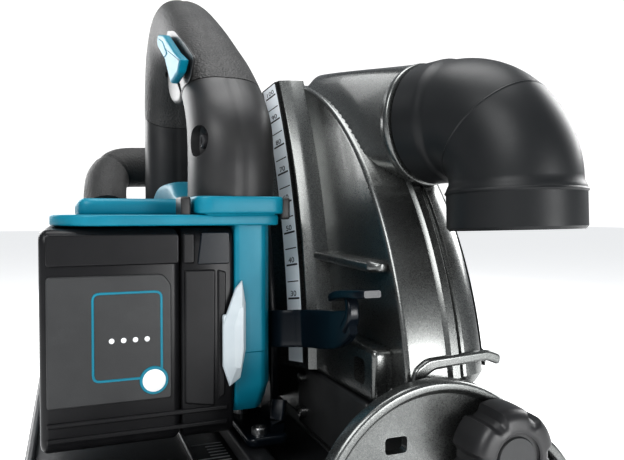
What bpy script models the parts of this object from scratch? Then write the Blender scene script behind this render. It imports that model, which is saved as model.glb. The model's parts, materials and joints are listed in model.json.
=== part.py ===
"""Cordless track saw with a swinging saw head, modelled as separate solids.

Frame: metres, +Z up, +Y along the cut (forward), +X to the right.  The origin is on the underside
of the sole.  All pieces hang on an empty in the blade plane, so sizes below are measured from the
blade plane (X), from the arbor at full depth (Y) and from the sole (Z).
"""

import bpy
import bmesh
from math import asin, cos, degrees, pi, radians, sin, sqrt
from mathutils import Matrix, Vector

MM = 0.001
GAP = 0.3 * MM                      # clearance kept between touching pieces

# ---- Blade, cutting depth and swing ----------------------------------------------------------
BLADE_OFFSET_X = 60 * MM            # blade plane to the frame origin
BLADE_RADIUS = 135 * MM
BLADE_PLATE = 1.8 * MM
BLADE_BORE = 12.7 * MM
BLADE_TEETH = 36
CUT_DEPTH = 100 * MM
ARBOR_Z = BLADE_RADIUS - CUT_DEPTH
PIVOT_Y = 186 * MM                  # swing pivot of the head
PIVOT_Z = 38 * MM
PIVOT_PIN_RADIUS = 5 * MM

# ---- Sole -------------------------------------------------------------------------------------
SOLE_LEFT = -150 * MM
SOLE_RIGHT = 46 * MM
SOLE_REAR = -172 * MM
SOLE_FRONT = 236 * MM
SOLE_THICK = 6 * MM
SOLE_CORNER = 12 * MM
SLOT_LEFT = -13 * MM
SLOT_RIGHT = 23 * MM
SLOT_END_CLEAR = 4.5 * MM
RAIL_GROOVE_X = -98 * MM
RAIL_GROOVE_WIDTH = 20 * MM
RAIL_GROOVE_DEPTH = 3 * MM
CAM_RADIUS = 9 * MM
CAM_HEIGHT = 8 * MM
CAM_REAR_Y = -118 * MM
CAM_FRONT_Y = 178 * MM

# ---- Bevel quadrants and the tilting frame -----------------------------------------------------
QUADRANT_RADIUS = 42 * MM
QUADRANT_THICK = 6 * MM
QUADRANT_HORN_X = -20 * MM           # middle of the round shoulder on its left
QUADRANT_HORN_Z = 14.5 * MM
QUADRANT_HORN_RADIUS = 43.5 * MM
QUADRANT_SLOT_RADIUS = 34.5 * MM
QUADRANT_SLOT_WIDTH = 7 * MM
BRACKET_THICK = 4 * MM
BEVEL_MAX = 45
KNOB_RADIUS = 16 * MM
KNOB_DEPTH = 15 * MM
KNOB_BOLT_RADIUS = 3 * MM
FRONT_BRACKET_Y = 205.3 * MM
BAR_LEFT = -66 * MM
BAR_RIGHT = -56 * MM
BAR_BOTTOM = 8.5 * MM
BAR_HEIGHT = 8 * MM
LUG_THICK = 6 * MM
LUG_RADIUS = 12 * MM

# ---- Depth guide and scale ----------------------------------------------------------------------
SCALE_RADIUS = 259.3 * MM           # middle of the scale, from the swing pivot
SCALE_X = -38.9 * MM
SCALE_SLANT = 60                    # degrees, scale face against the blade axis
SCALE_WIDTH = 9 * MM
SCALE_THICK = 0.5 * MM
SCALE_TOP = 31.8                    # degrees above the pivot's level
SCALE_BOTTOM = 2.0
BOSS_TOP = 32.6
BOSS_BOTTOM = 1.6
BOSS_FACE_X = -45.5 * MM
BOSS_INNER_RADIUS = 236 * MM
BOSS_OUTER_RADIUS = 267 * MM
GUIDE_INNER_RADIUS = 242 * MM
GUIDE_OUTER_RADIUS = 257 * MM
GUIDE_THICK = 3.5 * MM
GUIDE_CLEAR = 1.0 * MM
GUIDE_TOP = 31.4
GUIDE_BOTTOM = -6.2
CLAMP_ANGLE = 5.6
CLAMP_BOLT_RADIUS = 4 * MM
LEVER_THICK = 3.2 * MM
LEVER_HEIGHT = 15 * MM
LEVER_LENGTH = 72 * MM
LEVER_RISE = 7                      # degrees
POINTER_ANGLE = 30.3
POINTER_LENGTH = 4.5 * MM
POINTER_WIDTH = 3 * MM

# ---- Blade case ----------------------------------------------------------------------------------
CASE_RADIUS = 146 * MM
CASE_WALL = 3 * MM
CASE_LEFT = -25 * MM
CASE_RIGHT = 14 * MM
CASE_SEAM = -3 * MM
CASE_REAR_Z = 50 * MM
CASE_LEFT_BOTTOM = 12 * MM
CASE_RIGHT_BOTTOM = 33 * MM
NOSE_RADIUS = 14 * MM

# ---- Dust outlet ------------------------------------------------------------------------------
DUCT_MOUTH = Vector((0, -119, 147)) * MM
DUCT_YAW = -74                      # degrees from +X, level
DUCT_RADIUS = 23.5 * MM
DUCT_BORE = 18 * MM
DUCT_THROAT = 10 * MM                # bore radius where it opens into the case
DUCT_TAPER = 42 * MM                 # from the throat to the mouth
SPIGOT_LENGTH = 9 * MM
SPIGOT_RADIUS = 19.7 * MM
COLLAR_RADIUS = 23 * MM
COLLAR_LENGTH = 12 * MM
ELBOW_RADIUS = 22 * MM
ELBOW_BORE = 19 * MM
ELBOW_BEND = 88                      # degrees
ELBOW_BEND_RADIUS = 24.5 * MM
ELBOW_CUFF_LENGTH = 16 * MM

# ---- Lower guard -----------------------------------------------------------------------------------
GUARD_RADIUS = 141.2 * MM
GUARD_RIM = 2.4 * MM
GUARD_HALF_WIDTH = 7.5 * MM
GUARD_WALL = 1.5 * MM
GUARD_HUB_RADIUS = 32 * MM
GUARD_START = -3                    # degrees from the front, closed
GUARD_SWEEP = 175
GUARD_SIDE_INNER = 100 * MM

# ---- Gears and motor ---------------------------------------------------------------------------------
GEAR_MODULE = 1.5 * MM
ARBOR_TEETH = 26
IDLER_PINION_TEETH = 13
IDLER_TEETH = 65
ROTOR_TEETH = 14
GEAR_BACKLASH = 0.25 * MM
IDLER_LEAN = 70                     # degrees, arbor to idler, from forward
ROTOR_LEAN = 13
ARBOR_SHAFT_RADIUS = 8 * MM
IDLER_SHAFT_RADIUS = 5 * MM
BOSS_RADIUS = 16 * MM
BEARING_RADIUS = 13 * MM
BOSS_END_X = -9.5 * MM
GEARBOX_LEFT = -52 * MM
GEARBOX_WALL = 2.6 * MM
ARBOR_BOX_RADIUS = 23 * MM
IDLER_BOX_RADIUS = 52 * MM
ROTOR_BOX_RADIUS = 16 * MM
GEAR_COVER_THICK = 2.7 * MM
GEAR_FACE = 7 * MM
LOCK_BUTTON_Y = 14 * MM
LOCK_BUTTON_DROP = 11 * MM           # below the arbor
LOCK_BUTTON_RADIUS = 4.5 * MM
LOCK_SHANK_RADIUS = 3 * MM
LOCK_TRAVEL = 2 * MM
STATOR_RADIUS = 36 * MM
STATOR_BORE = 22.6 * MM
ROTOR_RADIUS = 22 * MM
STATOR_LENGTH = 46 * MM
MOTOR_WALL = 3 * MM
MOTOR_LEFT = -130 * MM
ROTOR_SHAFT_RADIUS = 4 * MM
FAN_RADIUS = 33 * MM
FAN_THICK = 4.5 * MM

# ---- Battery, body housing and handle ------------------------------------------------------------------
BATTERY_LENGTH = 115 * MM
BATTERY_WIDTH = 81 * MM
BATTERY_HEIGHT = 70 * MM
BATTERY_REAR = -91 * MM
BATTERY_BOTTOM = 26 * MM
BATTERY_RIGHT = -71.3 * MM
BATTERY_SPLIT = -92 * MM
BATTERY_WALL = 3 * MM
RAIL_LIP = 2.5 * MM
RAIL_DEPTH = 5 * MM
COLUMN_CLEAR = 0.8 * MM              # column to the clamp lever, both sides together
COLUMN_BOTTOM = 34 * MM
ROOF_THICK = 5 * MM
HANDLE_X = -68.5 * MM
HANDLE_HALF = 17 * MM
HANDLE_BASE_Z = 119.3 * MM
HANDLE_ROUND = 8 * MM
TRIGGER_WIDTH = 14 * MM
FRONT_HANDLE_RADIUS = 14 * MM

# ---- Values that follow ------------------------------------------------------------------------------------
ARBOR = Vector((0, 0, ARBOR_Z))
PIVOT = Vector((0, PIVOT_Y, PIVOT_Z))
ARBOR_IDLER = GEAR_MODULE * (ARBOR_TEETH + IDLER_PINION_TEETH) / 2
IDLER_ROTOR = GEAR_MODULE * (IDLER_TEETH + ROTOR_TEETH) / 2
IDLER_Y = ARBOR_IDLER * cos(radians(IDLER_LEAN))
IDLER_Z = ARBOR_Z + ARBOR_IDLER * sin(radians(IDLER_LEAN))
ROTOR_Y = IDLER_Y + IDLER_ROTOR * cos(radians(ROTOR_LEAN))
ROTOR_Z = IDLER_Z + IDLER_ROTOR * sin(radians(ROTOR_LEAN))
REAR_BRACKET_Y = -(GUARD_RADIUS + SLOT_END_CLEAR + BRACKET_THICK)
REAR_QUADRANT_Y = REAR_BRACKET_Y - GAP - QUADRANT_THICK
FRONT_QUADRANT_Y = FRONT_BRACKET_Y + BRACKET_THICK + 1.7 * MM
GUIDE_RIGHT = BOSS_FACE_X - GUIDE_CLEAR
COLUMN_RIGHT = GUIDE_RIGHT - GUIDE_THICK - LEVER_THICK - COLUMN_CLEAR
GUIDE_LEFT = GUIDE_RIGHT - GUIDE_THICK
CLAMP_RADIUS = (GUIDE_INNER_RADIUS + GUIDE_OUTER_RADIUS) / 2
CLAMP_Y = PIVOT_Y - CLAMP_RADIUS * cos(radians(CLAMP_ANGLE))
CLAMP_Z = PIVOT_Z + CLAMP_RADIUS * sin(radians(CLAMP_ANGLE))
GEAR_COVER_LEFT = GEARBOX_LEFT - GAP - GEAR_COVER_THICK
MOTOR_RADIUS = STATOR_RADIUS + GAP + MOTOR_WALL
BATTERY_TOP = BATTERY_BOTTOM + BATTERY_WIDTH
BATTERY_FRONT = BATTERY_REAR + BATTERY_LENGTH
BATTERY_LEFT = BATTERY_RIGHT - BATTERY_HEIGHT
BATTERY_MID_Z = (BATTERY_BOTTOM + BATTERY_TOP) / 2
ROOF_Z = BATTERY_TOP + 2 * GAP
DUCT_AXIS = Vector((cos(radians(DUCT_YAW)), sin(radians(DUCT_YAW)), 0))
HANDLE_LEFT = HANDLE_X - HANDLE_HALF
HANDLE_RIGHT = HANDLE_X + HANDLE_HALF

# ---- Axis frames: local x, y, z to world -----------------------------------------------------------------
SIDE = Matrix(((0, 0, 1, 0), (1, 0, 0, 0), (0, 1, 0, 0), (0, 0, 0, 1)))     # outline in Y-Z
FACE = Matrix(((1, 0, 0, 0), (0, 0, -1, 0), (0, 1, 0, 0), (0, 0, 0, 1)))    # outline in X-Z
PLAN = Matrix.Identity(4)                                                   # outline in X-Y


def clear_scene():
    """Removes every object of the open file."""
    for obj in list(bpy.data.objects):
        bpy.data.objects.remove(obj, do_unlink=True)


def make_collection(name):
    """Adds a collection to the scene."""
    collection = bpy.data.collections.new(name)
    bpy.context.scene.collection.children.link(collection)
    return collection


clear_scene()
PARTS = make_collection("track_saw")
CUTTERS = make_collection("cutters")
EMPTIES = {}


def joint_empty(name, place, parent=None):
    """An empty on a joint axis, hung on the empty of the body that carries the joint."""
    empty = bpy.data.objects.new(name, None)
    PARTS.objects.link(empty)
    empty.empty_display_size = 20 * MM
    place = Vector(place)
    empty.location = place + Vector((BLADE_OFFSET_X, 0, 0))
    if parent:
        empty.parent = EMPTIES[parent][0]
        empty.location = place - EMPTIES[parent][1]
    EMPTIES[name] = (empty, place)


def material(name, color, roughness, metallic=0.0):
    """A Principled material with one finish, made once."""
    found = bpy.data.materials.get(name)
    if found:
        return found
    made = bpy.data.materials.new(name)
    made.use_nodes = True
    shader = made.node_tree.nodes["Principled BSDF"]
    shader.inputs["Base Color"].default_value = (*color, 1.0)
    shader.inputs["Roughness"].default_value = roughness
    shader.inputs["Metallic"].default_value = metallic
    return made


FINISHES = {
    "teal_plastic": ((0.010, 0.22, 0.28), 0.42, 0.0),
    "black_rubber": ((0.045, 0.045, 0.047), 0.75, 0.0),
    "black_plastic": ((0.02, 0.02, 0.022), 0.45, 0.0),
    "gloss_black": ((0.012, 0.012, 0.014), 0.18, 0.0),
    "grey_plastic": ((0.10, 0.10, 0.105), 0.5, 0.0),
    "silver_plastic": ((0.50, 0.54, 0.56), 0.35, 0.0),
    "gunmetal": ((0.20, 0.21, 0.21), 0.32, 0.9),
    "cast_aluminium": ((0.55, 0.56, 0.57), 0.4, 0.9),
    "sole_black": ((0.05, 0.05, 0.055), 0.4, 0.6),
    "steel": ((0.60, 0.60, 0.60), 0.28, 1.0),
    "gear_steel": ((0.35, 0.35, 0.36), 0.35, 1.0),
    "copper": ((0.60, 0.28, 0.15), 0.35, 0.9),
    "scale_silver": ((0.55, 0.60, 0.63), 0.35, 0.3),
    "red_plastic": ((0.65, 0.02, 0.02), 0.4, 0.0),
    "circuit_green": ((0.02, 0.16, 0.07), 0.5, 0.0),
}


def part(name, mesh, finish, body):
    """A named piece in its finish, hung on the empty of its body."""
    obj = bpy.data.objects.new(name, mesh)
    PARTS.objects.link(obj)
    color, roughness, metallic = FINISHES[finish]
    mesh.materials.append(material(name + "_" + finish, color, roughness, metallic))
    empty, place = EMPTIES[body]
    obj.parent = empty
    obj.location = -place
    mesh.shade_smooth()
    mesh.set_sharp_from_angle(angle=radians(35))
    return obj


def tool(mesh):
    """A hidden cutter or added shape, in blade-plane sizes."""
    obj = bpy.data.objects.new("tool", mesh)
    CUTTERS.objects.link(obj)
    obj.location = (BLADE_OFFSET_X, 0, 0)
    obj.hide_render = True
    obj.display_type = "WIRE"
    return obj


def combine(obj, operation, meshes):
    """Adds one exact Boolean for each mesh."""
    for mesh in meshes:
        boolean = obj.modifiers.new(operation.lower(), "BOOLEAN")
        boolean.operation = operation
        boolean.solver = "EXACT"
        boolean.object = tool(mesh)
    return obj


def cut(obj, *meshes):
    """Cuts the meshes out of a piece."""
    return combine(obj, "DIFFERENCE", meshes)


def join(obj, *meshes):
    """Joins the meshes to a piece."""
    return combine(obj, "UNION", meshes)


def round_edges(obj, width, segments=2):
    """A Bevel modifier on the sharp edges."""
    bevel = obj.modifiers.new("rounding", "BEVEL")
    bevel.width = width
    bevel.segments = segments
    bevel.limit_method = "ANGLE"
    bevel.angle_limit = radians(40)
    return obj


def finish_bmesh(bm, name):
    """Writes a bmesh to a mesh with its faces pointing out."""
    bmesh.ops.recalc_face_normals(bm, faces=bm.faces)
    mesh = bpy.data.meshes.new(name)
    bm.to_mesh(mesh)
    bm.free()
    return mesh


def box(low, high):
    """A box between two corners."""
    low, high = Vector(low), Vector(high)
    size = high - low
    place = Matrix.Translation((low + high) / 2) @ Matrix.Diagonal((*size, 1.0))
    bm = bmesh.new()
    bmesh.ops.create_cube(bm, size=1.0, matrix=place)
    return finish_bmesh(bm, "box")


def rod(start, end, radius, segments=28, end_radius=None):
    """A cylinder or cone between two points."""
    start, end = Vector(start), Vector(end)
    span = end - start
    turn = span.to_track_quat("Z", "Y").to_matrix().to_4x4()
    bm = bmesh.new()
    bmesh.ops.create_cone(
        bm,
        cap_ends=True,
        segments=segments,
        radius1=radius,
        radius2=radius if end_radius is None else end_radius,
        depth=span.length,
        matrix=Matrix.Translation((start + end) / 2) @ turn,
    )
    return finish_bmesh(bm, "rod")


def evaluated_mesh(data, frame):
    """The welded mesh of a curve or a modified mesh, placed by a frame; the source is removed."""
    source = data if isinstance(data, bpy.types.Object) else bpy.data.objects.new("source", data)
    if source.name not in CUTTERS.objects:
        CUTTERS.objects.link(source)
    graph = bpy.context.evaluated_depsgraph_get()
    mesh = bpy.data.meshes.new_from_object(source.evaluated_get(graph))
    bpy.data.objects.remove(source, do_unlink=True)
    bm = bmesh.new()
    bm.from_mesh(mesh)
    bmesh.ops.remove_doubles(bm, verts=bm.verts, dist=0.001 * MM)
    bmesh.ops.transform(bm, matrix=frame, verts=bm.verts)
    bpy.data.meshes.remove(mesh)
    return finish_bmesh(bm, "shape")


def plate(loops, low, high, frame=SIDE):
    """A flat outline, with further loops as holes, between two levels of its frame's local Z."""
    curve = bpy.data.curves.new("outline", "CURVE")
    curve.dimensions = "2D"
    curve.fill_mode = "BOTH"
    curve.extrude = (high - low) / 2
    for loop in loops:
        spline = curve.splines.new("POLY")
        spline.points.add(len(loop) - 1)
        for point, (u, v) in zip(spline.points, loop):
            point.co = (u, v, 0, 1)
        spline.use_cyclic_u = True
    return evaluated_mesh(curve, frame @ Matrix.Translation((0, 0, (low + high) / 2)))


def tube(points, radius, resolution=3):
    """A round bar along points, with closed ends."""
    curve = bpy.data.curves.new("bar", "CURVE")
    curve.dimensions = "3D"
    curve.bevel_depth = radius
    curve.bevel_resolution = resolution
    curve.use_fill_caps = True
    spline = curve.splines.new("POLY")
    spline.points.add(len(points) - 1)
    for point, place in zip(spline.points, points):
        point.co = (*place, 1)
    return evaluated_mesh(curve, Matrix.Identity(4))


def turned(profile, centre, steps=36, closed=True):
    """A profile of (radius, X) points turned about an axis along X through centre (Y, Z)."""
    bm = bmesh.new()
    verts = [bm.verts.new((radius, 0, x)) for radius, x in profile]
    for a, b in zip(verts, verts[1:]):
        bm.edges.new((a, b))
    if closed:
        bm.edges.new((verts[-1], verts[0]))
    mesh = bpy.data.meshes.new("profile")
    bm.to_mesh(mesh)
    bm.free()
    source = bpy.data.objects.new("source", mesh)
    screw = source.modifiers.new("turn", "SCREW")
    screw.angle = 2 * pi
    screw.steps = steps
    screw.render_steps = steps
    screw.use_merge_vertices = True
    screw.merge_threshold = 0.01 * MM
    return evaluated_mesh(source, Matrix.Translation((0, centre[0], centre[1])) @ SIDE)


def ring(inner, outer, left, right, centre=(0, ARBOR_Z), steps=32):
    """A plain ring about an axis along X."""
    profile = [(inner, right), (outer, right), (outer, left), (inner, left)]
    return turned(profile, centre, steps)


def disc(radius, left, right, centre=(0, ARBOR_Z), segments=32):
    """A plain cylinder about an axis along X."""
    return rod((left, *centre), (right, *centre), radius, segments)


def sector(section, centre, start, sweep, steps):
    """A section of (radius, X) points swept about X; degrees count from forward towards up."""
    bm = bmesh.new()
    c, s = cos(radians(start)), sin(radians(start))
    verts = [bm.verts.new((x, centre[0] + r * c, centre[1] + r * s)) for r, x in section]
    bm.faces.new(verts)
    bmesh.ops.spin(
        bm,
        geom=bm.verts[:] + bm.edges[:] + bm.faces[:],
        cent=(0, *centre),
        axis=(1, 0, 0),
        angle=radians(sweep),
        steps=steps,
    )
    return finish_bmesh(bm, "sector")


def arc(radius, start, end, steps, centre=(0, 0)):
    """Points on an arc, in degrees."""
    angles = [radians(start + (end - start) * i / steps) for i in range(steps + 1)]
    return [(centre[0] + radius * cos(a), centre[1] + radius * sin(a)) for a in angles]


def circle(radius, centre=(0, 0), steps=24):
    """Points round a circle."""
    return arc(radius, 0, 360, steps, centre)[:-1]


def smooth_loop(points, per_span=2):
    """A closed Catmull-Rom curve through points."""
    out = []
    count = len(points)
    for i in range(count):
        p0, p1, p2, p3 = (Vector(points[(i + k) % count]) for k in (-1, 0, 1, 2))
        for step in range(per_span):
            t = step / per_span
            bend = (2 * p0 - 5 * p1 + 4 * p2 - p3) * t * t
            sway = (3 * p1 - p0 - 3 * p2 + p3) * t * t * t
            out.append(tuple((2 * p1 + (p2 - p0) * t + bend + sway) / 2))
    return out


def hull(circles, steps=24):
    """The outline round circles given as (Y, Z, radius), as a belt would lie."""
    cloud = sorted({p for y, z, r in circles for p in circle(r, (y, z), steps)})

    def half(points):
        """One side of the hull, by the monotone chain."""
        chain = []
        for p in points:
            while len(chain) > 1:
                a, b = chain[-2], chain[-1]
                if (b[0] - a[0]) * (p[1] - a[1]) - (b[1] - a[1]) * (p[0] - a[0]) > 0:
                    break
                chain.pop()
            chain.append(p)
        return chain[:-1]

    return half(cloud) + half(cloud[::-1])


def gear_loop(teeth, centre=(0, 0)):
    """A gear's outline with straight-sided teeth, kept clear of its mate's tips."""
    pitch = GEAR_MODULE * teeth / 2
    tip, root = pitch - GEAR_BACKLASH, pitch - GEAR_MODULE
    points = []
    for tooth in range(teeth):
        for share, radius in ((-0.28, root), (-0.12, tip), (0.12, tip), (0.28, root)):
            a = 2 * pi * (tooth + share) / teeth
            points.append((centre[0] + radius * cos(a), centre[1] + radius * sin(a)))
    return points


# ---- Joint empties -----------------------------------------------------------------------------------------
REAR_KNOB = (0, REAR_QUADRANT_Y, QUADRANT_SLOT_RADIUS)
FRONT_KNOB = (0, FRONT_QUADRANT_Y + QUADRANT_THICK, QUADRANT_SLOT_RADIUS)
TRIGGER_HINGE = (HANDLE_X, 50 * MM, 203 * MM)
LOCK_HINGE = (HANDLE_LEFT, -12 * MM, 197 * MM)
BATTERY_MID = (BATTERY_RIGHT - BATTERY_HEIGHT / 2, BATTERY_REAR, BATTERY_MID_Z)

joint_empty("base_axis", (0, 0, 0))
joint_empty("bevel_axis", (0, 0, 0), "base_axis")
joint_empty("swing_axis", PIVOT, "bevel_axis")
joint_empty("arbor_axis", ARBOR, "swing_axis")
joint_empty("idler_axis", (0, IDLER_Y, IDLER_Z), "swing_axis")
joint_empty("rotor_axis", (0, ROTOR_Y, ROTOR_Z), "swing_axis")
joint_empty("guard_axis", ARBOR, "swing_axis")
joint_empty("elbow_axis", DUCT_MOUTH, "swing_axis")
joint_empty("trigger_axis", TRIGGER_HINGE, "swing_axis")
joint_empty("lock_axis", LOCK_HINGE, "swing_axis")
joint_empty("battery_axis", BATTERY_MID, "swing_axis")
joint_empty("release_axis", (BATTERY_RIGHT, BATTERY_REAR, BATTERY_MID_Z), "battery_axis")
joint_empty("lever_axis", (GUIDE_LEFT, CLAMP_Y, CLAMP_Z), "swing_axis")
joint_empty("spindle_lock_axis", (GEARBOX_LEFT, 0, ARBOR_Z), "swing_axis")
joint_empty("rear_knob_axis", REAR_KNOB, "bevel_axis")
joint_empty("front_knob_axis", FRONT_KNOB, "bevel_axis")
joint_empty("rear_cam_axis", (RAIL_GROOVE_X, CAM_REAR_Y, 0), "base_axis")
joint_empty("front_cam_axis", (RAIL_GROOVE_X, CAM_FRONT_Y, 0), "base_axis")


# ---- Sole and quadrants ---------------------------------------------------------------------------------------
def rounded_rectangle(left, right, rear, front, radius):
    """The outline of a rectangle with round corners."""
    corners = (
        (right - radius, front - radius, 0),
        (left + radius, front - radius, 90),
        (left + radius, rear + radius, 180),
        (right - radius, rear + radius, 270),
    )
    return [p for x, y, start in corners for p in arc(radius, start, start + 90, 4, (x, y))]


def build_sole():
    """The sole with its blade slot and the groove that rides on the guide rail."""
    slot_end = GUARD_RADIUS + SLOT_END_CLEAR
    outline = rounded_rectangle(SOLE_LEFT, SOLE_RIGHT, SOLE_REAR, SOLE_FRONT, SOLE_CORNER)
    slot = rounded_rectangle(SLOT_LEFT, SLOT_RIGHT, -slot_end, slot_end, 5 * MM)
    sole = part("sole_plate", plate([outline, slot], 0, SOLE_THICK, PLAN), "sole_black", "base_axis")
    groove_left = RAIL_GROOVE_X - RAIL_GROOVE_WIDTH / 2
    groove = box((groove_left, SOLE_REAR - 1 * MM, -1 * MM),
                 (groove_left + RAIL_GROOVE_WIDTH, SOLE_FRONT + 1 * MM, RAIL_GROOVE_DEPTH))
    cut(sole, groove)


def build_quadrant(name, rear_y):
    """An upright bevel quadrant with its curved slot, fixed on the sole."""
    foot = SOLE_THICK + GAP
    low_angle = degrees(asin(foot / QUADRANT_RADIUS))
    outline = [(QUADRANT_RADIUS * cos(radians(low_angle)), foot)]
    for step in range(1, 31):
        a = radians(low_angle + (180 - low_angle) * step / 30)
        across = QUADRANT_HORN_X * cos(a) + QUADRANT_HORN_Z * sin(a)
        past = QUADRANT_HORN_RADIUS ** 2 - QUADRANT_HORN_X ** 2 - QUADRANT_HORN_Z ** 2 + across ** 2
        reach = max(QUADRANT_RADIUS, across + sqrt(past))
        if reach * sin(a) > foot:
            outline.append((reach * cos(a), reach * sin(a)))
    outline.append((outline[-1][0], foot))
    half = QUADRANT_SLOT_WIDTH / 2
    slot_play = degrees(asin((KNOB_BOLT_RADIUS + GAP) / QUADRANT_SLOT_RADIUS)) + 1
    slot_start, slot_end = 90 - BEVEL_MAX - slot_play, 91 + slot_play
    slot = arc(QUADRANT_SLOT_RADIUS + half, slot_start, slot_end, 10)
    slot += arc(QUADRANT_SLOT_RADIUS - half, slot_end, slot_start, 10)
    mesh = plate([outline, slot], -rear_y - QUADRANT_THICK, -rear_y, FACE)
    part(name, mesh, "cast_aluminium", "base_axis")


def build_cam(name, y):
    """A finger knob whose cam takes up the play on the guide rail."""
    body = name + "_axis"
    top = SOLE_THICK + GAP
    knob = part(name + "_knob", rod((RAIL_GROOVE_X, y, top), (RAIL_GROOVE_X, y, top + CAM_HEIGHT),
                                    CAM_RADIUS, 20), "black_plastic", body)
    fin = box((RAIL_GROOVE_X - 2 * MM, y - CAM_RADIUS * 1.5, top),
              (RAIL_GROOVE_X + 2 * MM, y, top + CAM_HEIGHT))
    join(knob, fin)


# ---- Tilting frame ------------------------------------------------------------------------------------------
def build_bracket(name, rear_y):
    """A bracket that slides on a quadrant; its right side stays above the sole at full bevel."""
    foot = BAR_BOTTOM
    outline = [(BAR_LEFT, foot), (-1 * MM, foot), (14 * MM, 24 * MM), (14 * MM, 44 * MM),
               (-14 * MM, 44 * MM), (-32 * MM, 26 * MM), (BAR_LEFT, 22 * MM)]
    bolt_hole = circle(KNOB_BOLT_RADIUS + GAP, (0, QUADRANT_SLOT_RADIUS), 16)
    mesh = plate([outline, bolt_hole], -rear_y - BRACKET_THICK, -rear_y, FACE)
    return part(name, mesh, "cast_aluminium", "bevel_axis")


def build_front_lugs(bracket):
    """Two lugs behind the front bracket that carry the swing pin."""
    for left, right, low in ((-48 * MM, -42 * MM, BAR_BOTTOM + 4 * MM), (10 * MM, 16 * MM, 27 * MM)):
        lug = box((left, PIVOT_Y, low), (right, FRONT_BRACKET_Y + 1 * MM, PIVOT_Z + LUG_RADIUS))
        join(bracket, lug, disc(LUG_RADIUS - 1 * MM, left, right, (PIVOT_Y, PIVOT_Z), 24))
    web = box((10 * MM, FRONT_BRACKET_Y, 27 * MM),
              (16 * MM, FRONT_BRACKET_Y + BRACKET_THICK, PIVOT_Z + LUG_RADIUS))
    join(bracket, web,
         box((-48 * MM, FRONT_BRACKET_Y, 12 * MM),
             (-30 * MM, FRONT_BRACKET_Y + BRACKET_THICK, PIVOT_Z + LUG_RADIUS)))
    cut(bracket, disc(PIVOT_PIN_RADIUS + GAP, -60 * MM, 30 * MM, (PIVOT_Y, PIVOT_Z), 24))


def build_tilt_frame():
    """The two brackets, the bar that ties them and the swing pin."""
    build_bracket("tilt_bracket_rear", REAR_BRACKET_Y)
    build_front_lugs(build_bracket("tilt_bracket_front", FRONT_BRACKET_Y))
    rear, front = REAR_BRACKET_Y + BRACKET_THICK + GAP, FRONT_BRACKET_Y - GAP
    bar = box((BAR_LEFT, rear, BAR_BOTTOM), (BAR_RIGHT, front, BAR_BOTTOM + BAR_HEIGHT))
    part("tilt_bar", bar, "cast_aluminium", "bevel_axis")
    pin = disc(PIVOT_PIN_RADIUS, -50 * MM, 18 * MM, (PIVOT_Y, PIVOT_Z), 24)
    part("swing_pin", pin, "steel", "bevel_axis")


def build_depth_guide():
    """The curved guide about the swing pivot, with its clamp slot and foot on the tilt bar."""
    centre = (PIVOT_Y, PIVOT_Z)
    start, end = 180 - GUIDE_BOTTOM, 180 - GUIDE_TOP
    band = arc(GUIDE_OUTER_RADIUS, start, end, 20, centre)
    band += arc(GUIDE_INNER_RADIUS, end, start, 20, centre)
    half = CLAMP_BOLT_RADIUS + 2 * GAP
    slot_start, slot_end = 180 - CLAMP_ANGLE + 2, 180 - GUIDE_TOP + 2
    slot = arc(CLAMP_RADIUS + half, slot_start, slot_end, 14, centre)
    slot += arc(CLAMP_RADIUS - half, slot_end, slot_start, 14, centre)
    guide = part("depth_guide", plate([band, slot], GUIDE_LEFT, GUIDE_RIGHT), "gloss_black", "bevel_axis")
    foot_z = BAR_BOTTOM + BAR_HEIGHT + GAP
    foot_y = PIVOT_Y - CLAMP_RADIUS
    join(guide, box((BAR_LEFT + 2 * MM, foot_y - 22 * MM, foot_z),
                    (GUIDE_RIGHT, foot_y + 20 * MM, foot_z + 4 * MM)))
    reach = PIVOT_Y - GUIDE_OUTER_RADIUS
    pointer = box((GUIDE_LEFT + GAP, reach - POINTER_LENGTH, PIVOT_Z - POINTER_WIDTH / 2),
                  (GUIDE_RIGHT - GAP, reach - GAP, PIVOT_Z + POINTER_WIDTH / 2))
    lift = Matrix.Rotation(radians(-POINTER_ANGLE), 4, "X")
    pointer.transform(Matrix.Translation(PIVOT) @ lift @ Matrix.Translation(-PIVOT))
    part("depth_pointer", pointer, "red_plastic", "bevel_axis")


def build_bevel_knob(name, centre, outward):
    """A bevel clamp knob with its bolt; outward is -1 at the rear and +1 at the front."""
    x, y, z = centre
    body = name + "_axis"
    shank = (QUADRANT_THICK + BRACKET_THICK + 2 * MM) * outward
    knob = part(name, rod((x, y + GAP * outward, z), (x, y + KNOB_DEPTH * outward, z), KNOB_RADIUS, 24,
                          KNOB_RADIUS * 0.86), "black_plastic", body)
    join(knob, rod((x, y - shank, z), (x, y + 1 * MM * outward, z), KNOB_BOLT_RADIUS, 14))
    for turn in range(6):
        a = 2 * pi * turn / 6
        cx, cz = x + KNOB_RADIUS * 1.12 * cos(a), z + KNOB_RADIUS * 1.12 * sin(a)
        cut(knob, rod((cx, y + 3 * MM * outward, cz), (cx, y + 30 * MM * outward, cz), 4 * MM, 10))


# ---- Blade case ------------------------------------------------------------------------------------------------
def case_outline(bottom):
    """The side outline of the blade case down to a level; it runs on to the swing pivot."""
    rear = degrees(asin((CASE_REAR_Z - ARBOR_Z) / CASE_RADIUS))
    points = arc(CASE_RADIUS, 10, 180 - rear, 30, (0, ARBOR_Z))
    return points + [(-118 * MM, 45 * MM), (-104 * MM, bottom + 4 * MM), (-96 * MM, bottom)]


def cavity(radius):
    """The space for the blade and guard, open downwards."""
    loop = arc(radius, 0, 180, 30, (0, ARBOR_Z)) + [(-radius, -60 * MM), (radius, -60 * MM)]
    return plate([loop], CASE_LEFT + CASE_WALL, CASE_RIGHT - CASE_WALL)


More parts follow.
